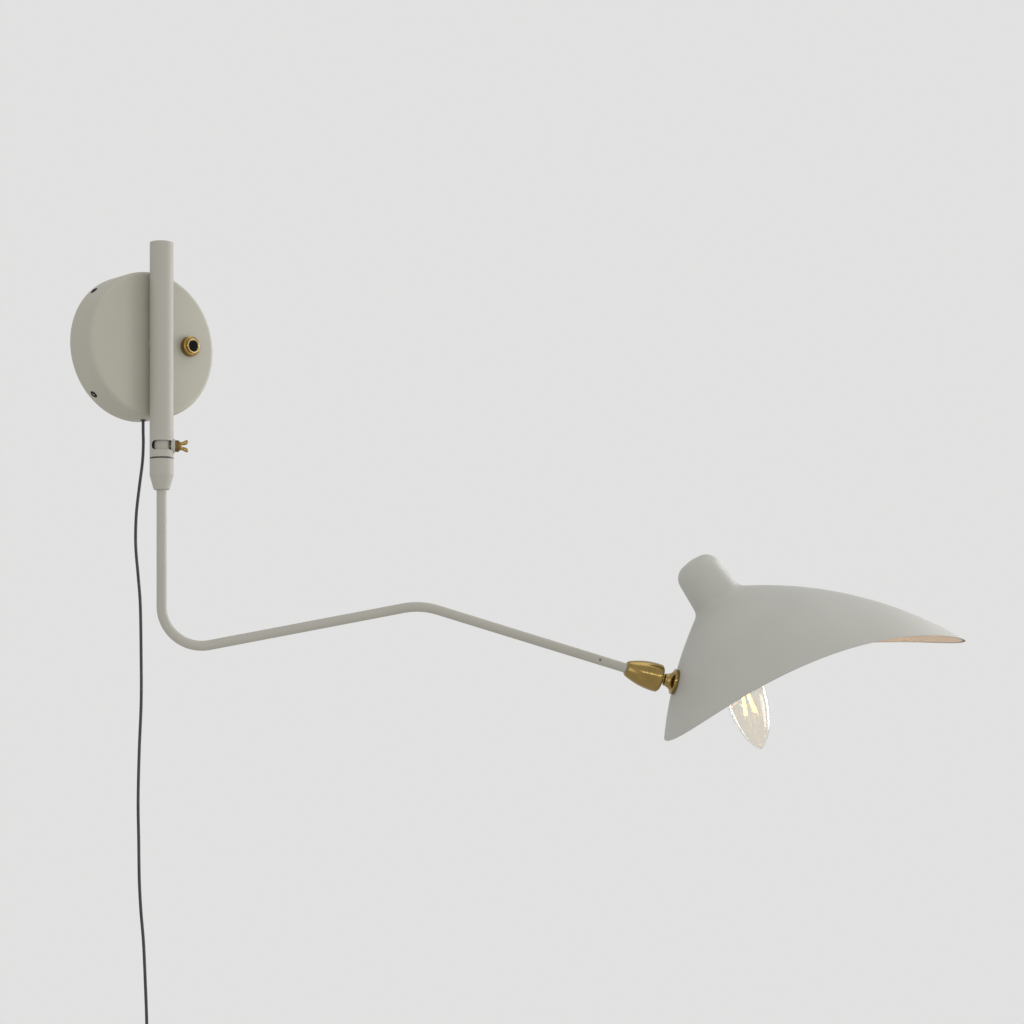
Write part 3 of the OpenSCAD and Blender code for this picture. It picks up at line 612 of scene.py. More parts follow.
def paint_node(node, material):
    """Gives its material to a CAD node that keeps its own shape."""
    obj = frame["nodes"][node]
    obj.data.materials.clear()
    obj.data.materials.append(material)


# ---------------- Canopy and switch


def build_canopy():
    """Canopy dish, with a hole in the middle for the nipple and one for the switch."""
    inner_r = CANOPY_R - CANOPY_WALL
    inner_depth = CANOPY_DEPTH - CANOPY_WALL
    nipple_hole_r, switch_hole_r = 4.1, BUSH_R + 0.1
    outline = soften([
        (nipple_hole_r, inner_depth, 0), (nipple_hole_r, CANOPY_DEPTH, 0.2),
        (CANOPY_R, CANOPY_DEPTH, CANOPY_EDGE), (CANOPY_R, 0, 0.4), (inner_r, 0, 0.4),
        (inner_r, inner_depth, CANOPY_EDGE - CANOPY_WALL),
    ], steps=10)
    bm = bmesh.new()
    turned(bm, outline, 192)
    switch_hole = bmesh.new()
    start, end = inner_depth - 1, CANOPY_DEPTH + 1
    turned(switch_hole, [(0, start), (switch_hole_r, start), (switch_hole_r, end), (0, end)], 64)
    bmesh.ops.translate(switch_hole, verts=switch_hole.verts, vec=(*SWITCH_AT, 0))
    cut_away(bm, switch_hole)
    finish_piece("canopy_shell", bm, WALL, PAINT, ["canopy"])


def build_canopy_screws():
    """Dark oval-headed screws in the canopy's side, each with a round socket."""
    socket_r, socket_depth, head_r, head_h, shank_r, length = 1.3, 1.0, 3.2, 0.6, 2.0, 9
    outline = soften([
        (0, -socket_depth, 0), (socket_r, -socket_depth, 0), (socket_r, head_h, 0.15), (2.3, head_h, 0.3),
        (head_r, 0.05, 0.1), (head_r, -0.3, 0), (shank_r, -1.2, 0), (shank_r, -length, 0), (0, -length, 0),
    ])
    to_side = move_by(CANOPY_R, 0, SIDE_SCREW_DEPTH) @ turn_by(90, "Y")
    screws = turned_copies(outline, 36, [turn_by(angle, "Z") @ to_side for angle in SIDE_SCREW_ANGLES])
    finish_piece("canopy_side_screws", screws, WALL, BLACK_STEEL, ["canopy_screws"])


def build_switch():
    """Threaded brass bush with a knurled ring nut and a flush black button."""
    nut_r, nut_h, teeth, depth = 8.2, 5.5, 40, 0.45
    place = WALL @ move_by(*SWITCH_AT, CANOPY_DEPTH)

    def knurl(angle, out, along):
        if out < nut_r - 0.3 or along < 0.5 or along > nut_h - 0.9:
            return out
        return out - depth * abs((angle * teeth / (2 * pi)) % 1 * 2 - 1)

    nut = soften([
        (BUSH_R + 0.02, 0, 0), (nut_r, 0, 0.2), (nut_r, 0.6, 0), (nut_r, nut_h - 1.0, 0),
        (nut_r - 0.1, nut_h - 0.7, 0), (nut_r - 0.8, nut_h, 0.2), (BUSH_R + 0.02, nut_h, 0.1),
    ])
    lathe("switch_ring_nut", nut, place, BRASS_PLAIN, ["switch_nut"], steps=teeth * 8, sharp=24, wave=knurl)
    bore_r, bush_h, body_r, body_back = BUTTON_R + 0.08, 7, 8.5, -16
    bush = soften([
        (bore_r, -4, 0), (bore_r, bush_h, 0.35), (BUSH_R, bush_h, 0.35), (BUSH_R, -1.4, 0),
        (body_r, -1.5, 0), (body_r, body_back, 0.3), (0, body_back, 0), (0, -4, 0),
    ])
    lathe("switch_bush", bush, place, BRIGHT_BRASS, ["switch_body"])
    dome_r, dome_half, button_top = 40, 3.7, 7.4
    dome = arc_points((0, button_top - dome_r), dome_r, 90 - degrees(dome_half / dome_r), 90, 6)
    button = soften([(0, 0, 0), (BUTTON_R, 0, 0), (BUTTON_R, 7.0, 0.5), (3.9, 7.3, 0)]) + dome
    lathe("switch_push", button, place, BLACK_GLOSS, ["switch_button"])


# ---------------- Post


def build_post_tube():
    """Upright tube with the stop slot, whose round ends follow the tube's curve; its bore and slot walls are
    black, as painted shade.
    """
    half = SLOT_H / 2
    end_span = degrees(half / POST_R)
    end_steps, front_steps, back_steps = 8, 22, 20
    slot_middle = -90
    slot_tip = SLOT_END + end_span
    front = [SLOT_END * k / front_steps for k in range(front_steps)]
    front += [SLOT_END + end_span * sin(pi / 2 * k / end_steps) for k in range(end_steps + 1)]
    back = [slot_tip + (180 - slot_tip) * k / back_steps for k in range(1, back_steps)]
    offsets = [-a for a in reversed(front[1:])] + front + back + [180] + [a + 180 - slot_tip for a in back]

    def slot_half(offset):
        over = abs(offset) - SLOT_END
        if over <= 0:
            return half
        if over >= end_span - 1e-9:
            return 0.0
        return half * sqrt(max(0.0, 1 - (over / end_span) ** 2))

    bm = bmesh.new()
    edge = 0.3
    top = arc_points((POST_R - edge, POST_TOP - edge), edge, 0, 90, 3)
    columns = []
    for offset in offsets:
        angle = radians(slot_middle + offset)
        ring = slot_half(offset)

        def vertex(out, z):
            return bm.verts.new((out * cos(angle), out * sin(angle), z))

        def lines(out, rim):
            """The vertices below the slot and those above it, which share one where there is no slot."""
            below = vertex(out, SLOT_Z - ring)
            above = vertex(out, SLOT_Z + ring) if ring > 0 else below
            return [vertex(out, POST_BOTTOM), below], [above] + [vertex(r, z) for r, z in rim]

        columns.append((lines(POST_R, top), lines(POST_BORE_R, [(POST_BORE_R, POST_TOP)]), ring))

    def strip(one, two, side=0):
        for k in range(len(one) - 1):
            add_face(bm, (one[k], two[k], two[k + 1], one[k + 1]), side)

    for (outer, inner, ring), (next_outer, next_inner, next_ring) in zip(columns, columns[1:] + columns[:1]):
        for part, far, near in ((0, 0, -1), (1, -1, 0)):
            a, b, next_a, next_b = outer[part], inner[part], next_outer[part], next_inner[part]
            strip(a, next_a)
            # Faces with index 1 (the bore and the slot's walls) take black: painted shade inside the tube.
            strip(b, next_b, side=1)
            strip((a[far], b[far]), (next_a[far], next_b[far]))
            if ring > 0 or next_ring > 0:
                strip((a[near], b[near]), (next_a[near], next_b[near]), side=1)
    # The second material, black, is painted shade on the bore and the slot's walls.
    finish_piece("post_upright", bm, POST, POST_PAINT_SHADED, ["post_tube"], second=BLACK_STEEL)


def build_post_cap():
    """Cap with a short skirt, pressed into the top of the tube."""
    cap_r, skirt_r = POST_BORE_R - 0.01, POST_BORE_R - 1.5
    top, under, skirt_end = POST_TOP - 0.05, POST_TOP - 1.5, POST_TOP - 4
    outline = soften([
        (0, top, 0), (cap_r, top, 0.3), (cap_r, skirt_end, 0.2), (skirt_r, skirt_end, 0.2),
        (skirt_r, under, 0), (0, under, 0),
    ])
    lathe("post_top_cap", outline, POST, POST_PAINT_SHADED, ["post_cap"])


# ---------------- Arm


def build_arm_collar():
    """Turned collar, as wide as the post above and tapered to the arm below."""
    bore_r, bore_top = ARM_R + 0.1, COLLAR_BOTTOM + 1
    outline = soften([
        (0, COLLAR_TOP, 0), (POST_R, COLLAR_TOP, 0.35), (POST_R, COLLAR_TAPER, 0.8),
        (COLLAR_BOTTOM_R, COLLAR_BOTTOM, 0.7), (bore_r, COLLAR_BOTTOM, 0.2), (bore_r, bore_top, 0),
        (0, bore_top, 0),
    ], steps=6)
    lathe("arm_swivel_collar", outline, ARM, POST_PAINT_SHADED, ["arm_collar"])


def arm_path():
    """Centre line of the arm in its upright plane, from inside the collar to inside the barrel."""
    foot_z = KNEE.y - KNEE.x * tan(radians(RISE))
    bend_z = foot_z + BEND_R * tan(radians((90 + RISE) / 2))
    turn = RISE + DROP
    tangent = KNEE_R * tan(radians(turn / 2))
    rise = Vector((cos(radians(RISE)), sin(radians(RISE))))
    drop = Vector((cos(radians(DROP)), -sin(radians(DROP))))
    knee_centre = KNEE - tangent * rise + KNEE_R * Vector((sin(radians(RISE)), -cos(radians(RISE))))
    ball = Vector((BALL_REACH, BALL_CENTRE.z))
    path = [Vector((0, COLLAR_BOTTOM + 1)), Vector((0, (COLLAR_BOTTOM + bend_z) / 2))]
    path += arc_points((BEND_R, bend_z), BEND_R, 180, 270 + RISE, 28)
    path += [path[-1].lerp(KNEE, 0.5)]
    path += arc_points(knee_centre, KNEE_R, 90 + RISE, 90 - DROP, 14)
    return path + [path[-1].lerp(ball, 0.5), ball + (BARREL_BACK + 12) * drop]


def build_arm_tube():
    bm = bmesh.new()
    swept_rod(bm, arm_path(), ARM_R, steps=40)
    finish_piece("arm_bent_tube", bm, ARM, POST_PAINT_SHADED, ["arm_tube"])


def build_lock():
    """Painted boss on the post, brass collar and the two-lobed wing screw."""
    saddle_out = POST_R + 1
    collar_out = saddle_out + 3.4
    boss_r, boss_in, boss_bore = 5.8, 7.2, SCREW_R + 0.1
    boss = soften([
        (boss_bore, boss_in, 0), (boss_bore, saddle_out, 0.2), (boss_r, saddle_out, 0.5),
        (boss_r, boss_in, 0),
    ])
    lathe("lock_boss", boss, SCREW, POST_PAINT_SHADED, ["lock_saddle"])
    ribs, rib_depth = 24, 0.25
    ring_r, ring_bore, ring_in = 4.7, SCREW_R + 0.05, saddle_out + 0.02
    wave = ribbed(ribs, rib_depth, ring_r - 0.2, saddle_out + 0.7, collar_out - 1)
    collar = soften([
        (ring_bore, ring_in, 0), (ring_r, ring_in, 0.25), (ring_r, saddle_out + 0.8, 0),
        (ring_r, collar_out - 1.1, 0), (ring_r, collar_out - 0.9, 0), (ring_r, collar_out, 0.5),
        (ring_bore, collar_out, 0.2),
    ])
    lathe("lock_ring", collar, SCREW, AGED_BRASS, ["lock_collar"], steps=ribs * 8, sharp=40, wave=wave)
    bm = bmesh.new()
    shank_r, shank_in, hub_r = SCREW_R - 0.02, 4.6, 3.6
    hub_start, hub_end = collar_out + 0.02, collar_out + 2
    hub = soften([
        (0, shank_in, 0), (shank_r, shank_in, 0.3), (shank_r, hub_start, 0), (hub_r, hub_start, 0.2),
        (hub_r, hub_end, 0.7), (0, hub_end, 0),
    ])
    turned(bm, hub, 64)
    root_r, lobe_r, lobe_at, lean, half_thick = 1.3, 1.9, 3.4, 1.2, 1.2
    wing_out, wing_steps, squareness = 1.8, 24, 2.6
    for side in (-1, 1):
        wing = bmesh.new()
        sections = []
        for k in range(wing_steps + 1):
            along = -root_r + (lobe_at + lobe_r + root_r) * (0.5 - 0.5 * cos(pi * k / wing_steps))
            if along < 0:
                width = sqrt(max(0.0, root_r ** 2 - along ** 2))
            elif along > lobe_at:
                width = sqrt(max(0.0, lobe_r ** 2 - (along - lobe_at) ** 2))
            else:
                width = root_r + (lobe_r - root_r) * along / lobe_at
            thick = half_thick * min(1.0, width / root_r) ** 0.7
            shift = side * lean * along / lobe_at
            sections.append((along, max(width, 0.1), max(thick, 0.1), squareness, shift))
        loft(wing, sections, 40)
        add_part(bm, wing, move_by(side * wing_out, 0, hub_end))
    finish_piece("lock_wing_screw", bm, SCREW, BRASS_PLAIN, ["wing_screw"], sharp=50)


# ---------------- Ball joint


def build_barrel():
    """Bellied barrel, bevelled at both ends, with the arm in its back and the socket in its front."""
    bulge, bevel, side_steps = 1.7, 1.2, 16
    run = BARREL_FRONT - BARREL_BACK - 2 * bevel
    side = []
    for k in range(side_steps + 1):
        t = k / side_steps
        out = BARREL_BACK_R + (BARREL_FRONT_R - BARREL_BACK_R) * t + bulge * 4 * t * (1 - t)
        rounding = 0.3 if k in (0, side_steps) else 0
        side.append((out, BARREL_BACK + bevel + run * t, rounding))
    arm_bore, mouth_bore, mouth_floor = ARM_R + 0.02, RING_R + 0.25, -2
    corners = (
        [(arm_bore, BARREL_BACK, 0.15), (BARREL_BACK_R - 1, BARREL_BACK, 0.3)]
        + side
        + [(BARREL_FRONT_R - 1, BARREL_FRONT, 0.25), (mouth_bore, BARREL_FRONT, 0.1),
           (mouth_bore, mouth_floor, 0), (arm_bore, mouth_floor, 0)]
    )
    lathe("joint_barrel", soften(corners, 4), BARREL, BRASS, ["swivel_barrel"], steps=128)


def build_socket_ring():
    """Front ring of the socket, sunk a little into the barrel's mouth, with the ball showing in it."""
    mouth = arc_points((0, 0), BALL_R + 0.06, 0, 30, 8)
    back, front = -1.9, BARREL_FRONT - 0.1
    outline = (
        soften([(RING_R, back, 0), (RING_R, front, 0.3), (8.0, front, 0.3)])
        + [mouth[-1] + Vector((0.35, 0.25))] + mouth[::-1] + [Vector((BALL_R + 0.1, back))]
    )
    lathe("joint_socket_ring", outline, BARREL, BRASS, ["socket_ring"])


def build_ball_and_stud():
    hole = STUD_R + 0.04
    start = degrees(atan2(sqrt(BALL_R ** 2 - hole ** 2), hole))
    ball = arc_points((0, 0), BALL_R, -start, start, 40)
    lathe("joint_ball", ball, STUD, BRIGHT_BRASS, ["ball"])
    head_r, head_back, head_front = 4.3, -6, -4.54
    end, bore_r = STUD_REACH + 8.3, 1.9
    bore_end = end - 6
    stud = soften([
        (0, head_back, 0), (head_r, head_back, 0.4), (head_r, head_front, 0.2), (STUD_R, head_front, 0),
        (STUD_R, end, 0.5), (bore_r, end, 0.2), (bore_r, bore_end, 0), (0, bore_end, 0),
    ])
    lathe("joint_stud", stud, STUD, BRASS, ["stud"])


def build_flange():
    """Trumpet-shaped flange between the ball and the shade."""
    neck_start, neck_edge, neck_r = BALL_R + 0.4, 0.8, 5.2
    flare_start = neck_start + neck_edge
    disc_back, disc_r = STUD_REACH - 3.2, 10.8
    sweep, sweep_steps = 66, 14
    trumpet_r = (disc_back - flare_start) / sin(radians(sweep))
    trumpet = []
    for k in range(sweep_steps + 1):
        a = radians(sweep * k / sweep_steps)
        trumpet.append(Vector((neck_r + trumpet_r * (1 - cos(a)), flare_start + trumpet_r * sin(a))))
    rim = soften([
        (disc_r - 0.3, disc_back, 0.3), (disc_r, disc_back + 0.6, 0.2), (disc_r, STUD_REACH, 0.3),
        (STUD_R, STUD_REACH, 0),
    ])
    outline = [Vector((STUD_R, neck_start)), Vector((neck_r - neck_edge, neck_start))] + trumpet + rim
    lathe("shade_mount_flange", outline, STUD, BRASS, ["shade_flange"], steps=128)


# ---------------- Shade


def shade_profile():
    """The shade's outside in half section, from the top, and the index of the point where the flare starts.

    Each point is [along, out, slope in degrees]."""
    taper, corner_r, dome, dome_steps, fillet_r = 4.5, 13, 0.8, 8, 9.3
    flare, straight, flare_r, flare_turn, brim_r, brim_turn = 56.7, 10, 324, 32, 90, 25
    top_r = NECK_R - NECK_H * tan(radians(taper))
    points = [[0.0, 0.0, 90.0]]

    def arc(start_slope, end_slope, radius, steps):
        along, out, _ = points[-1]
        way = 1 if end_slope > start_slope else -1
        for k in range(1, steps + 1):
            slope = start_slope + (end_slope - start_slope) * k / steps
            points.append([
                along + way * radius * (sin(radians(slope)) - sin(radians(start_slope))),
                out + way * radius * (cos(radians(start_slope)) - cos(radians(slope))),
                slope,
            ])

    def ahead(distance, steps):
        along, out, slope = points[-1]
        for k in range(1, steps + 1):
            reach = distance * k / steps
            points.append([along + reach * cos(radians(slope)), out + reach * sin(radians(slope)), slope])

    for k in range(1, dome_steps + 1):
        t = k / dome_steps
        points.append([dome * t * t, (top_r - corner_r) * t, 90.0])
    arc(90, taper, corner_r, 18)
    ahead(NECK_H - points[-1][0] - 0.6 * fillet_r, 8)
    arc(taper, flare, fillet_r, 14)
    ahead(straight, 6)
    start = len(points) - 1
    arc(flare, flare - flare_turn, flare_r, 160)
    arc(flare - flare_turn, flare - flare_turn - brim_turn, brim_r, 60)
    return points, start


def shade_surface(bm, offset, rim_gap, columns, rows):
    """Adds one side of the shade, offset inwards, down to rim_gap short of the rim's curved cut.

    Returns the last ring and the points of the cut itself, both in the shade's frame."""
    profile, start = shade_profile()
    line = [
        Vector((max(out - offset * cos(radians(slope)), 0), along + offset * sin(radians(slope))))
        for along, out, slope in profile
    ]
    to_head = HEAD.inverted() @ SHADE

    def place(point, angle):
        return Vector((point.x * cos(angle), point.x * sin(angle), point.y))

    def outside(point, angle):
        spot = to_head @ place(point, angle)
        return (Vector((spot.x, spot.z)) - RIM_CUT_CENTRE).length - RIM_CUT_R

    def point_at(reach, distances):
        for i in range(1, len(distances)):
            if reach <= distances[i]:
                share = (reach - distances[i - 1]) / (distances[i] - distances[i - 1])
                return line[start + i - 1].lerp(line[start + i], share)
        return line[-1].copy()

    distances = [0.0]
    for a, b in zip(line[start:], line[start + 1:]):
        distances.append(distances[-1] + (b - a).length)
    angles = [2 * pi * c / columns for c in range(columns)]
    rings_made = [[bm.verts.new((0, 0, line[0].y))] * columns]
    for point in line[1: start + 1]:
        rings_made.append([bm.verts.new(place(point, angle)) for angle in angles])
    flare_rows = [[None] * columns for _ in range(rows)]
    cut = []
    for c, angle in enumerate(angles):
        reach = distances[-1]
        previous = outside(line[start], angle)
        for i in range(start + 1, len(line)):
            here = outside(line[i], angle)
            if here <= 0:
                share = previous / (previous - here)
                reach = distances[i - start - 1] + share * (distances[i - start] - distances[i - start - 1])
                break
            previous = here
        cut.append(place(point_at(reach, distances), angle))
        for r in range(rows):
            spot = point_at((reach - rim_gap) * (r + 1) / rows, distances)
            flare_rows[r][c] = bm.verts.new(place(spot, angle))
    rings_made += flare_rows
    join_rings(bm, rings_made)
    return rings_made[-1], cut


def build_shade():
    """Spun shade: its outside, its inside and the thin edge between them, which is painted dark brown as painted
    shade along the rim.
    """
    columns, rows, softness = 240, 64, 0.35
    bm = bmesh.new()
    outer, outer_cut = shade_surface(bm, 0.0, softness, columns, rows)
    inner, inner_cut = shade_surface(bm, SHADE_WALL, softness, columns, rows)
    edge_a = [bm.verts.new(a.lerp(b, 0.25)) for a, b in zip(outer_cut, inner_cut)]
    edge_b = [bm.verts.new(a.lerp(b, 0.75)) for a, b in zip(outer_cut, inner_cut)]
    join_rings(bm, [outer, edge_a])
    # The edge band takes the dark brown paint: painted shade along the rim.
    join_rings(bm, [edge_a, edge_b, inner], side=1)
    finish_piece("shade_shell", bm, SHADE, SHADE_PAINT_LIT, ["shade"], sharp=60, second=RIM_EDGE_PAINTED_SHADE)


# ---------------- Lamp holder and bulb


def build_lamp_holder():
    """Black holder: a ribbed skirt with a lip, screwed to a smooth back shell."""
    ribs, rib_depth = 36, 0.35
    lip_r, groove_r, hole_r, socket_r, socket_floor = HOLDER_R + 1.2, HOLDER_R - 0.6, 5, 7.4, -1.5
    lip_back, lip_front = HOLDER_MOUTH - 6, HOLDER_MOUTH - 3.5
    grip = ribbed(ribs, rib_depth, HOLDER_R - 0.2, -1, HOLDER_MOUTH - 8)
    outline = soften([
        (hole_r, HOLDER_BACK, 0.3), (HOLDER_R - 2, HOLDER_BACK, 1.5), (HOLDER_R, HOLDER_BACK + 4, 1.5),
        (HOLDER_R, -4, 0.3), (groove_r, -3.6, 0), (groove_r, -2.8, 0), (HOLDER_R, -2.4, 0.3),
        (HOLDER_R, -0.6, 0), (HOLDER_R, HOLDER_MOUTH - 8.4, 0), (HOLDER_R, HOLDER_MOUTH - 7.5, 0),
        (HOLDER_R, lip_back, 0.3), (lip_r, lip_back, 0.5), (lip_r, lip_front, 0.5),
        (HOLDER_R, lip_front, 0.2), (HOLDER_R, HOLDER_MOUTH, 0.6), (socket_r, HOLDER_MOUTH, 0.6),
        (socket_r, socket_floor, 0), (hole_r, socket_floor, 0),
    ])
    lathe("lamp_socket", outline, BULB, PHENOLIC, ["lamp_holder"], steps=ribs * 8, sharp=32, wave=grip)


def build_bulb_cap():
    """Screw cap with a rounded thread, an insulating cone and the contact."""
    pitch, turns, steps = 2.8, 5, 10
    thread_r, half_depth, thread_start = 6.35, 0.5, BULB_CAP_LENGTH - 3.5
    bore_r, lip_r = 6.2, 6.9
    thread = []
    for k in range(steps * turns + 1):
        out = thread_r + half_depth * cos(2 * pi * k / steps)
        thread.append(Vector((out, thread_start - k * pitch / steps)))
    outline = (
        [Vector((bore_r, 6.0)), Vector((bore_r, BULB_CAP_LENGTH)), Vector((lip_r, BULB_CAP_LENGTH))]
        + [Vector((lip_r, BULB_CAP_LENGTH - 2.2))] + thread
        + soften([(6.6, 5.0, 0.3), (3.2, 1.6, 0.2), (2.2, 1.5, 0), (2.2, 0.2, 0.3), (0, 0, 0), (0, 6.0, 0)])
    )
    lathe("bulb_screw_cap", outline, BULB, NICKEL, ["bulb_cap"], sharp=40)


def glass_outline(shrink):
    """Half section of the candle glass: (out, along) from inside the cap to the tip."""
    belly, neck, pointedness = BULB_R - shrink, 6.2 - shrink, 1.32
    widest, tip = BULB_CAP_LENGTH + BULB_BELLY, BULB_LENGTH - shrink
    swell_steps, tip_steps = 18, 32
    points = [Vector((neck, BULB_CAP_LENGTH - 4)), Vector((neck, BULB_CAP_LENGTH))]
    for k in range(1, swell_steps + 1):
        t = k / swell_steps
        points.append(Vector((neck + (belly - neck) * sin(pi / 2 * t), BULB_CAP_LENGTH + BULB_BELLY * t)))
    for k in range(1, tip_steps + 1):
        a = pi / 2 * k / tip_steps
        points.append(Vector((belly * max(cos(a), 0.0) ** pointedness, widest + (tip - widest) * sin(a))))
    points[-1].x = 0.0
    return points


def build_bulb_glass():
    glass_wall = 0.8
    outline = glass_outline(0) + glass_outline(glass_wall)[::-1]
    glass = lathe("bulb_candle_glass", outline, BULB, GLASS, ["bulb_glass"], steps=96, sharp=70)
    glass.visible_shadow = False


def build_bulb_stem():
    """Glass stem, and four filament sticks that lean outwards from its top."""
    stem = soften([
        (0, 7, 0), (5.3, 7, 0.4), (5.0, 11, 2), (2.4, 24, 3), (1.8, 36, 0.5), (2.6, 39, 0.8),
        (1.2, 41, 0.5), (0, 41, 0),
    ])
    post = lathe("bulb_glass_stem", stem, BULB, GLASS, [], steps=48, sharp=70, parent_node="bulb_stem")
    post.visible_shadow = False
    stick_r, stick_length, stick_lean, foot_out, foot_along = 0.6, 29, 10, 1.3, 39
    outline = soften([(0, 0, 0), (stick_r, 0, 0.3), (stick_r, stick_length, 0.3), (0, stick_length, 0)])
    stick = move_by(foot_out, 0, foot_along) @ turn_by(stick_lean, "Y")
    sticks = turned_copies(outline, 20, [turn_by(angle, "Z") @ stick for angle in (45, 135, 225, 315)])
    finish_piece("bulb_filaments", sticks, BULB, FILAMENT, ["bulb_stem"])


def add_bulb_light():
    """The lit bulb: a small warm light in the middle of the filaments."""
    middle = BULB @ Vector((0, 0, 54))
    data = bpy.data.lights.new("bulb_light", "POINT")
    data.energy = 1.15
    data.color = (1.0, 0.50, 0.19)
    data.shadow_soft_size = 0.008
    light = bpy.data.objects.new("bulb_light", data)
    light.location = middle
    light.visible_camera = False
    light.visible_transmission = False
    light.visible_glossy = False
    put_in_scene(light)
    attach(light, BODY_OF["bulb_glass"])


# ---------------- Cord


def catmull_rom(points, steps):
    """Smooth line through points, with steps pieces between two of them."""
    points = [Vector(p) for p in points]
    line = []
    for i in range(len(points) - 1):
        p0, p1 = points[max(i - 1, 0)], points[i]
        p2, p3 = points[i + 1], points[min(i + 2, len(points) - 1)]
        for j in range(steps):
            t = j / steps
            line.append(0.5 * (
                2 * p1 + (p2 - p0) * t + (2 * p0 - 5 * p1 + 4 * p2 - p3) * t * t
                + (3 * p1 - p0 - 3 * p2 + p3) * t * t * t
            ))
    return line + [points[-1]]


def coil_line():
    """Two layers of turns side by side: out from the wall inside, then back again outside."""
    per_turn = 36
    inner_r, outer_r = COIL_D / 2 - CORD_D / 2, COIL_D / 2 + CORD_D / 2
    inner_steps = COIL_TURNS * per_turn
    outer_steps = (COIL_TURNS - 1) * per_turn
    climb = per_turn // 2
    line = []
    for k in range(inner_steps + outer_steps + 1):
        angle = -2 * pi * k / per_turn
        layer = min(max((k - inner_steps + climb) / climb, 0.0), 1.0)
        radius = inner_r + (outer_r - inner_r) * layer * layer * (3 - 2 * layer)
        turns_out = min(k, 2 * inner_steps - k) / per_turn
        line.append(COIL_CENTRE + Vector((radius * cos(angle), -CORD_D * turns_out, radius * sin(angle))))
    return line


def line_length(line):
    return sum((b - a).length for a, b in zip(line, line[1:]))


def build_cord():
    """The whole cord as one curve, and its length in metres."""
    line = catmull_rom(CORD_POINTS, 6)[:-1] + coil_line() + catmull_rom(TAIL_POINTS, 6)
    curve = bpy.data.curves.new("supply_cord", "CURVE")
    curve.dimensions = "3D"
    curve.bevel_depth = CORD_D * MM / 2
    curve.bevel_resolution = 5
    curve.use_fill_caps = True
    spline = curve.splines.new("POLY")
    spline.points.add(len(line) - 1)
    for point, spot in zip(spline.points, line):
        point.co = (*(spot * MM), 1)
    spline.use_smooth = True
    cord = bpy.data.objects.new("supply_cord", curve)
    put_in_scene(cord)
    curve.materials.append(CORD_JACKET)
    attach(cord, BODY_OF["mains_cord"])
    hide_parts("mains_cord", "cord_coil", "cord_tail")
    return cord, line_length(line) * MM


def build_strain_relief():
    """Tapered bush at the canopy's lower edge, with a groove that holds it in the wall."""
    bore_r, body_r, flange_r = CORD_D / 2 + 0.02, 3.0, 4.2
    start, end = CANOPY_R - 14, CANOPY_R + 1
    outline = soften([
        (bore_r, start, 0), (body_r, start, 0.3), (body_r, CANOPY_R - 3.8, 0.2),
        (flange_r, CANOPY_R - 3.6, 0.3), (flange_r, CANOPY_R - 1.7, 0.3), (body_r, CANOPY_R - 1.6, 0),
        (body_r, CANOPY_R - 0.5, 0.1), (2.6, CANOPY_R - 0.4, 0), (2.0, end, 0.2), (bore_r, end, 0.1),
    ])
    place = WALL @ move_by(0, 0, -CORD_EXIT.y) @ turn_by(90, "X")
    return lathe("cord_strain_relief", outline, place, PHENOLIC, ["cord_bush"], steps=64)


def build_cord_tie():
    """Strap with rounded corners round the coil's two layers."""
    strap_w, strap_t, slack = 6.0, 1.2, 0.5
    width = (COIL_TURNS + 1) * CORD_D
    inner_x, inner_y = width / 2 + slack, CORD_D + slack + 0.3
    profile = soften([
        (0, -strap_w / 2, 0.3), (strap_t, -strap_w / 2, 0.3), (strap_t, strap_w / 2, 0.3),
        (0, strap_w / 2, 0.3),
    ], 2)
    corner_r, corner_steps = 1.2, 6
    path = []
    for sign_x, sign_y, start in ((1, 1, 0), (-1, 1, 90), (-1, -1, 180), (1, -1, 270)):
        centre = Vector((sign_x * (inner_x - corner_r), sign_y * (inner_y - corner_r)))
        for k in range(corner_steps + 1):
            a = radians(start + 90 * k / corner_steps)
            way = Vector((cos(a), sin(a)))
            path.append((centre + corner_r * way, way))
    bm = bmesh.new()
    rows = [[bm.verts.new((*(spot + way * p.x), p.y)) for p in profile] for spot, way in path]
    join_rings(bm, rows + rows[:1])
    middle = COIL_CENTRE + Vector((0, CORD_D / 2 - width / 2, COIL_D / 2 - 0.2))
    turn = Matrix(((0, 0, 1, 0), (1, 0, 0, 0), (0, 1, 0, 0), (0, 0, 0, 1)))
    return finish_piece("coil_strap", bm, ROW @ move_by(*middle) @ turn, STRAP, ["cord_tie"])


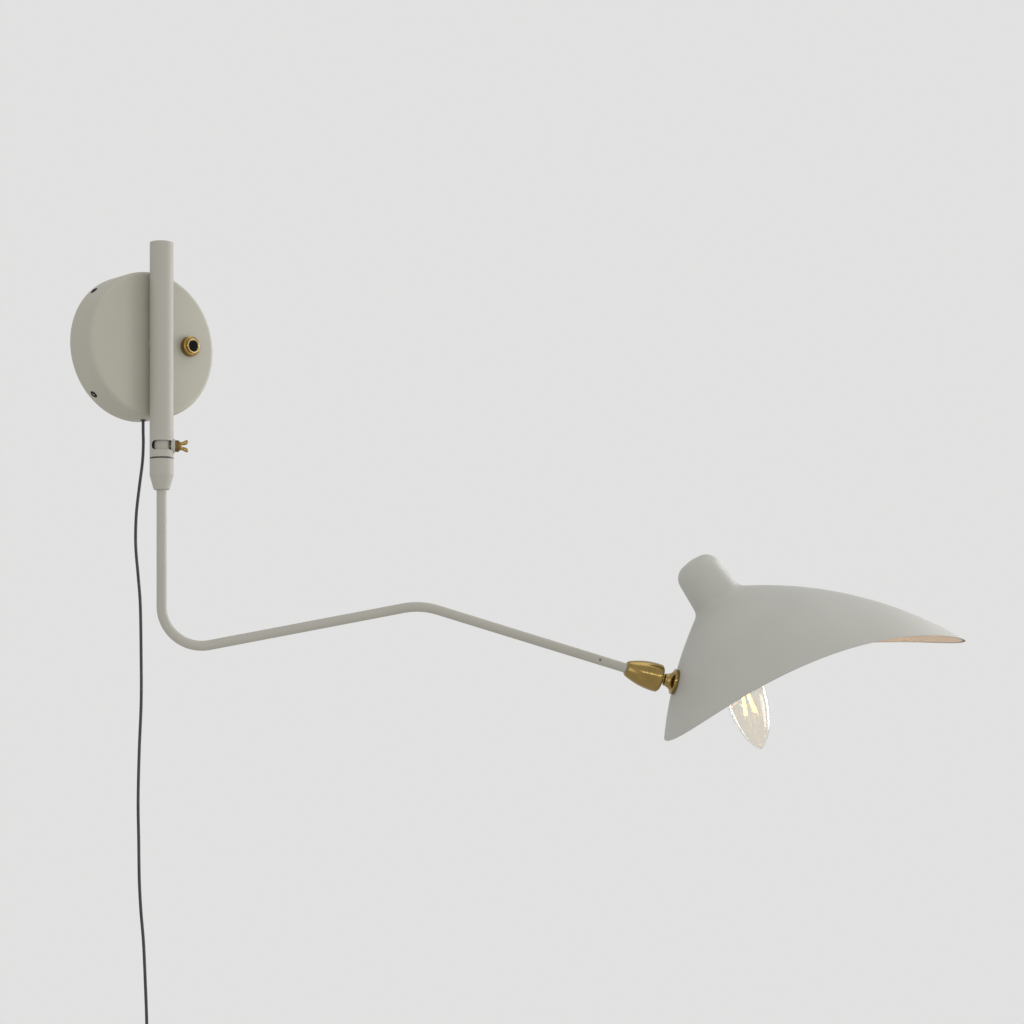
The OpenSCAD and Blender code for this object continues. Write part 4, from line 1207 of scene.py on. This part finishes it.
def build_plug():
    """Moulded two-pin plug: a ribbed relief, a waisted grip and a flat face, drawn down from its top.

    Each section is (distance down, half width, half thickness, power)."""
    sections = [
        (0.0, 1.9, 1.9, 2.0), (0.4, 2.3, 2.3, 2.0), (3.0, 2.6, 2.6, 2.0), (3.4, 2.2, 2.2, 2.0),
        (4.6, 2.3, 2.3, 2.0), (5.0, 3.0, 3.0, 2.0), (7.2, 3.4, 3.4, 2.0), (7.6, 2.8, 2.8, 2.0),
        (9.0, 3.0, 3.0, 2.1), (9.6, 4.0, 3.8, 2.3), (12.0, 5.2, 4.3, 2.6), (16.0, 8.0, 5.0, 2.9),
        (20.0, 11.0, 5.7, 3.2), (24.0, 13.0, 5.9, 3.6), (28.0, 14.4, 5.7, 4.0),
        (32.0, 15.4, 5.6, 4.2), (36.0, 16.2, 5.8, 4.4), (38.0, 16.45, 5.95, 4.6),
        (38.7, 16.3, 5.9, 4.6), (39.0, 15.9, 5.5, 4.6),
    ]
    bm = bmesh.new()
    loft(bm, [(*section, 0) for section in sections], 72)
    place = ROW @ move_by(*PLUG_TOP) @ turn_by(180, "X")
    body = finish_piece("plug_moulding", bm, place, PLUG_BLACK, ["plug_body"], sharp=50)
    pin_r, pin_start, pin_end, pin_aside = 2, 33, 58, 9.3
    outline = soften([
        (0, pin_start, 0), (pin_r, pin_start, 0), (pin_r, pin_end - 1, 0), (pin_r, pin_end, 0.9),
        (0, pin_end, 0),
    ])
    pins = turned_copies(outline, 40, [move_by(x, 0, 0) for x in (-pin_aside, pin_aside)])
    return body, finish_piece("plug_contact_pins", pins, place, NICKEL, ["plug_pins"])


cord, cord_length = build_cord()
relief = build_strain_relief()
tie = build_cord_tie()
plug, plug_pins = build_plug()

build_canopy()
build_canopy_screws()
build_switch()
build_post_tube()
build_post_cap()
build_arm_collar()
build_arm_tube()
build_lock()
build_barrel()
build_socket_ring()
build_ball_and_stud()
build_flange()
build_shade()
build_lamp_holder()
build_bulb_cap()
build_bulb_glass()
build_bulb_stem()
add_bulb_light()

KEPT_NODES = {
    "wall_bracket": ZINC, "cord_clamp": ZINC, "terminal_block": NYLON, "terminal_screws": BRASS_PLAIN,
    "supply_leads": CORD_JACKET, "post_spacers": POST_PAINT_SHADED, "post_nipple": ZINC, "post_nut": ZINC,
    "post_screws": BLACK_STEEL, "upper_bush": NYLON, "lower_bush": NYLON, "thrust_washer": PHENOLIC,
    "arm_spigot": POST_PAINT_SHADED, "retaining_clip": BLACK_STEEL, "arm_lead": CORD_JACKET,
    "grub_screws": BLACK_STEEL, "seat_spring": ZINC, "ball_seat": NYLON, "stud_washer": ZINC,
    "stud_nut": BRASS_PLAIN, "holder_bracket": ZINC, "holder_nipple": ZINC, "lamp_lead": NYLON,
}
for node, material in KEPT_NODES.items():
    paint_node(node, material)
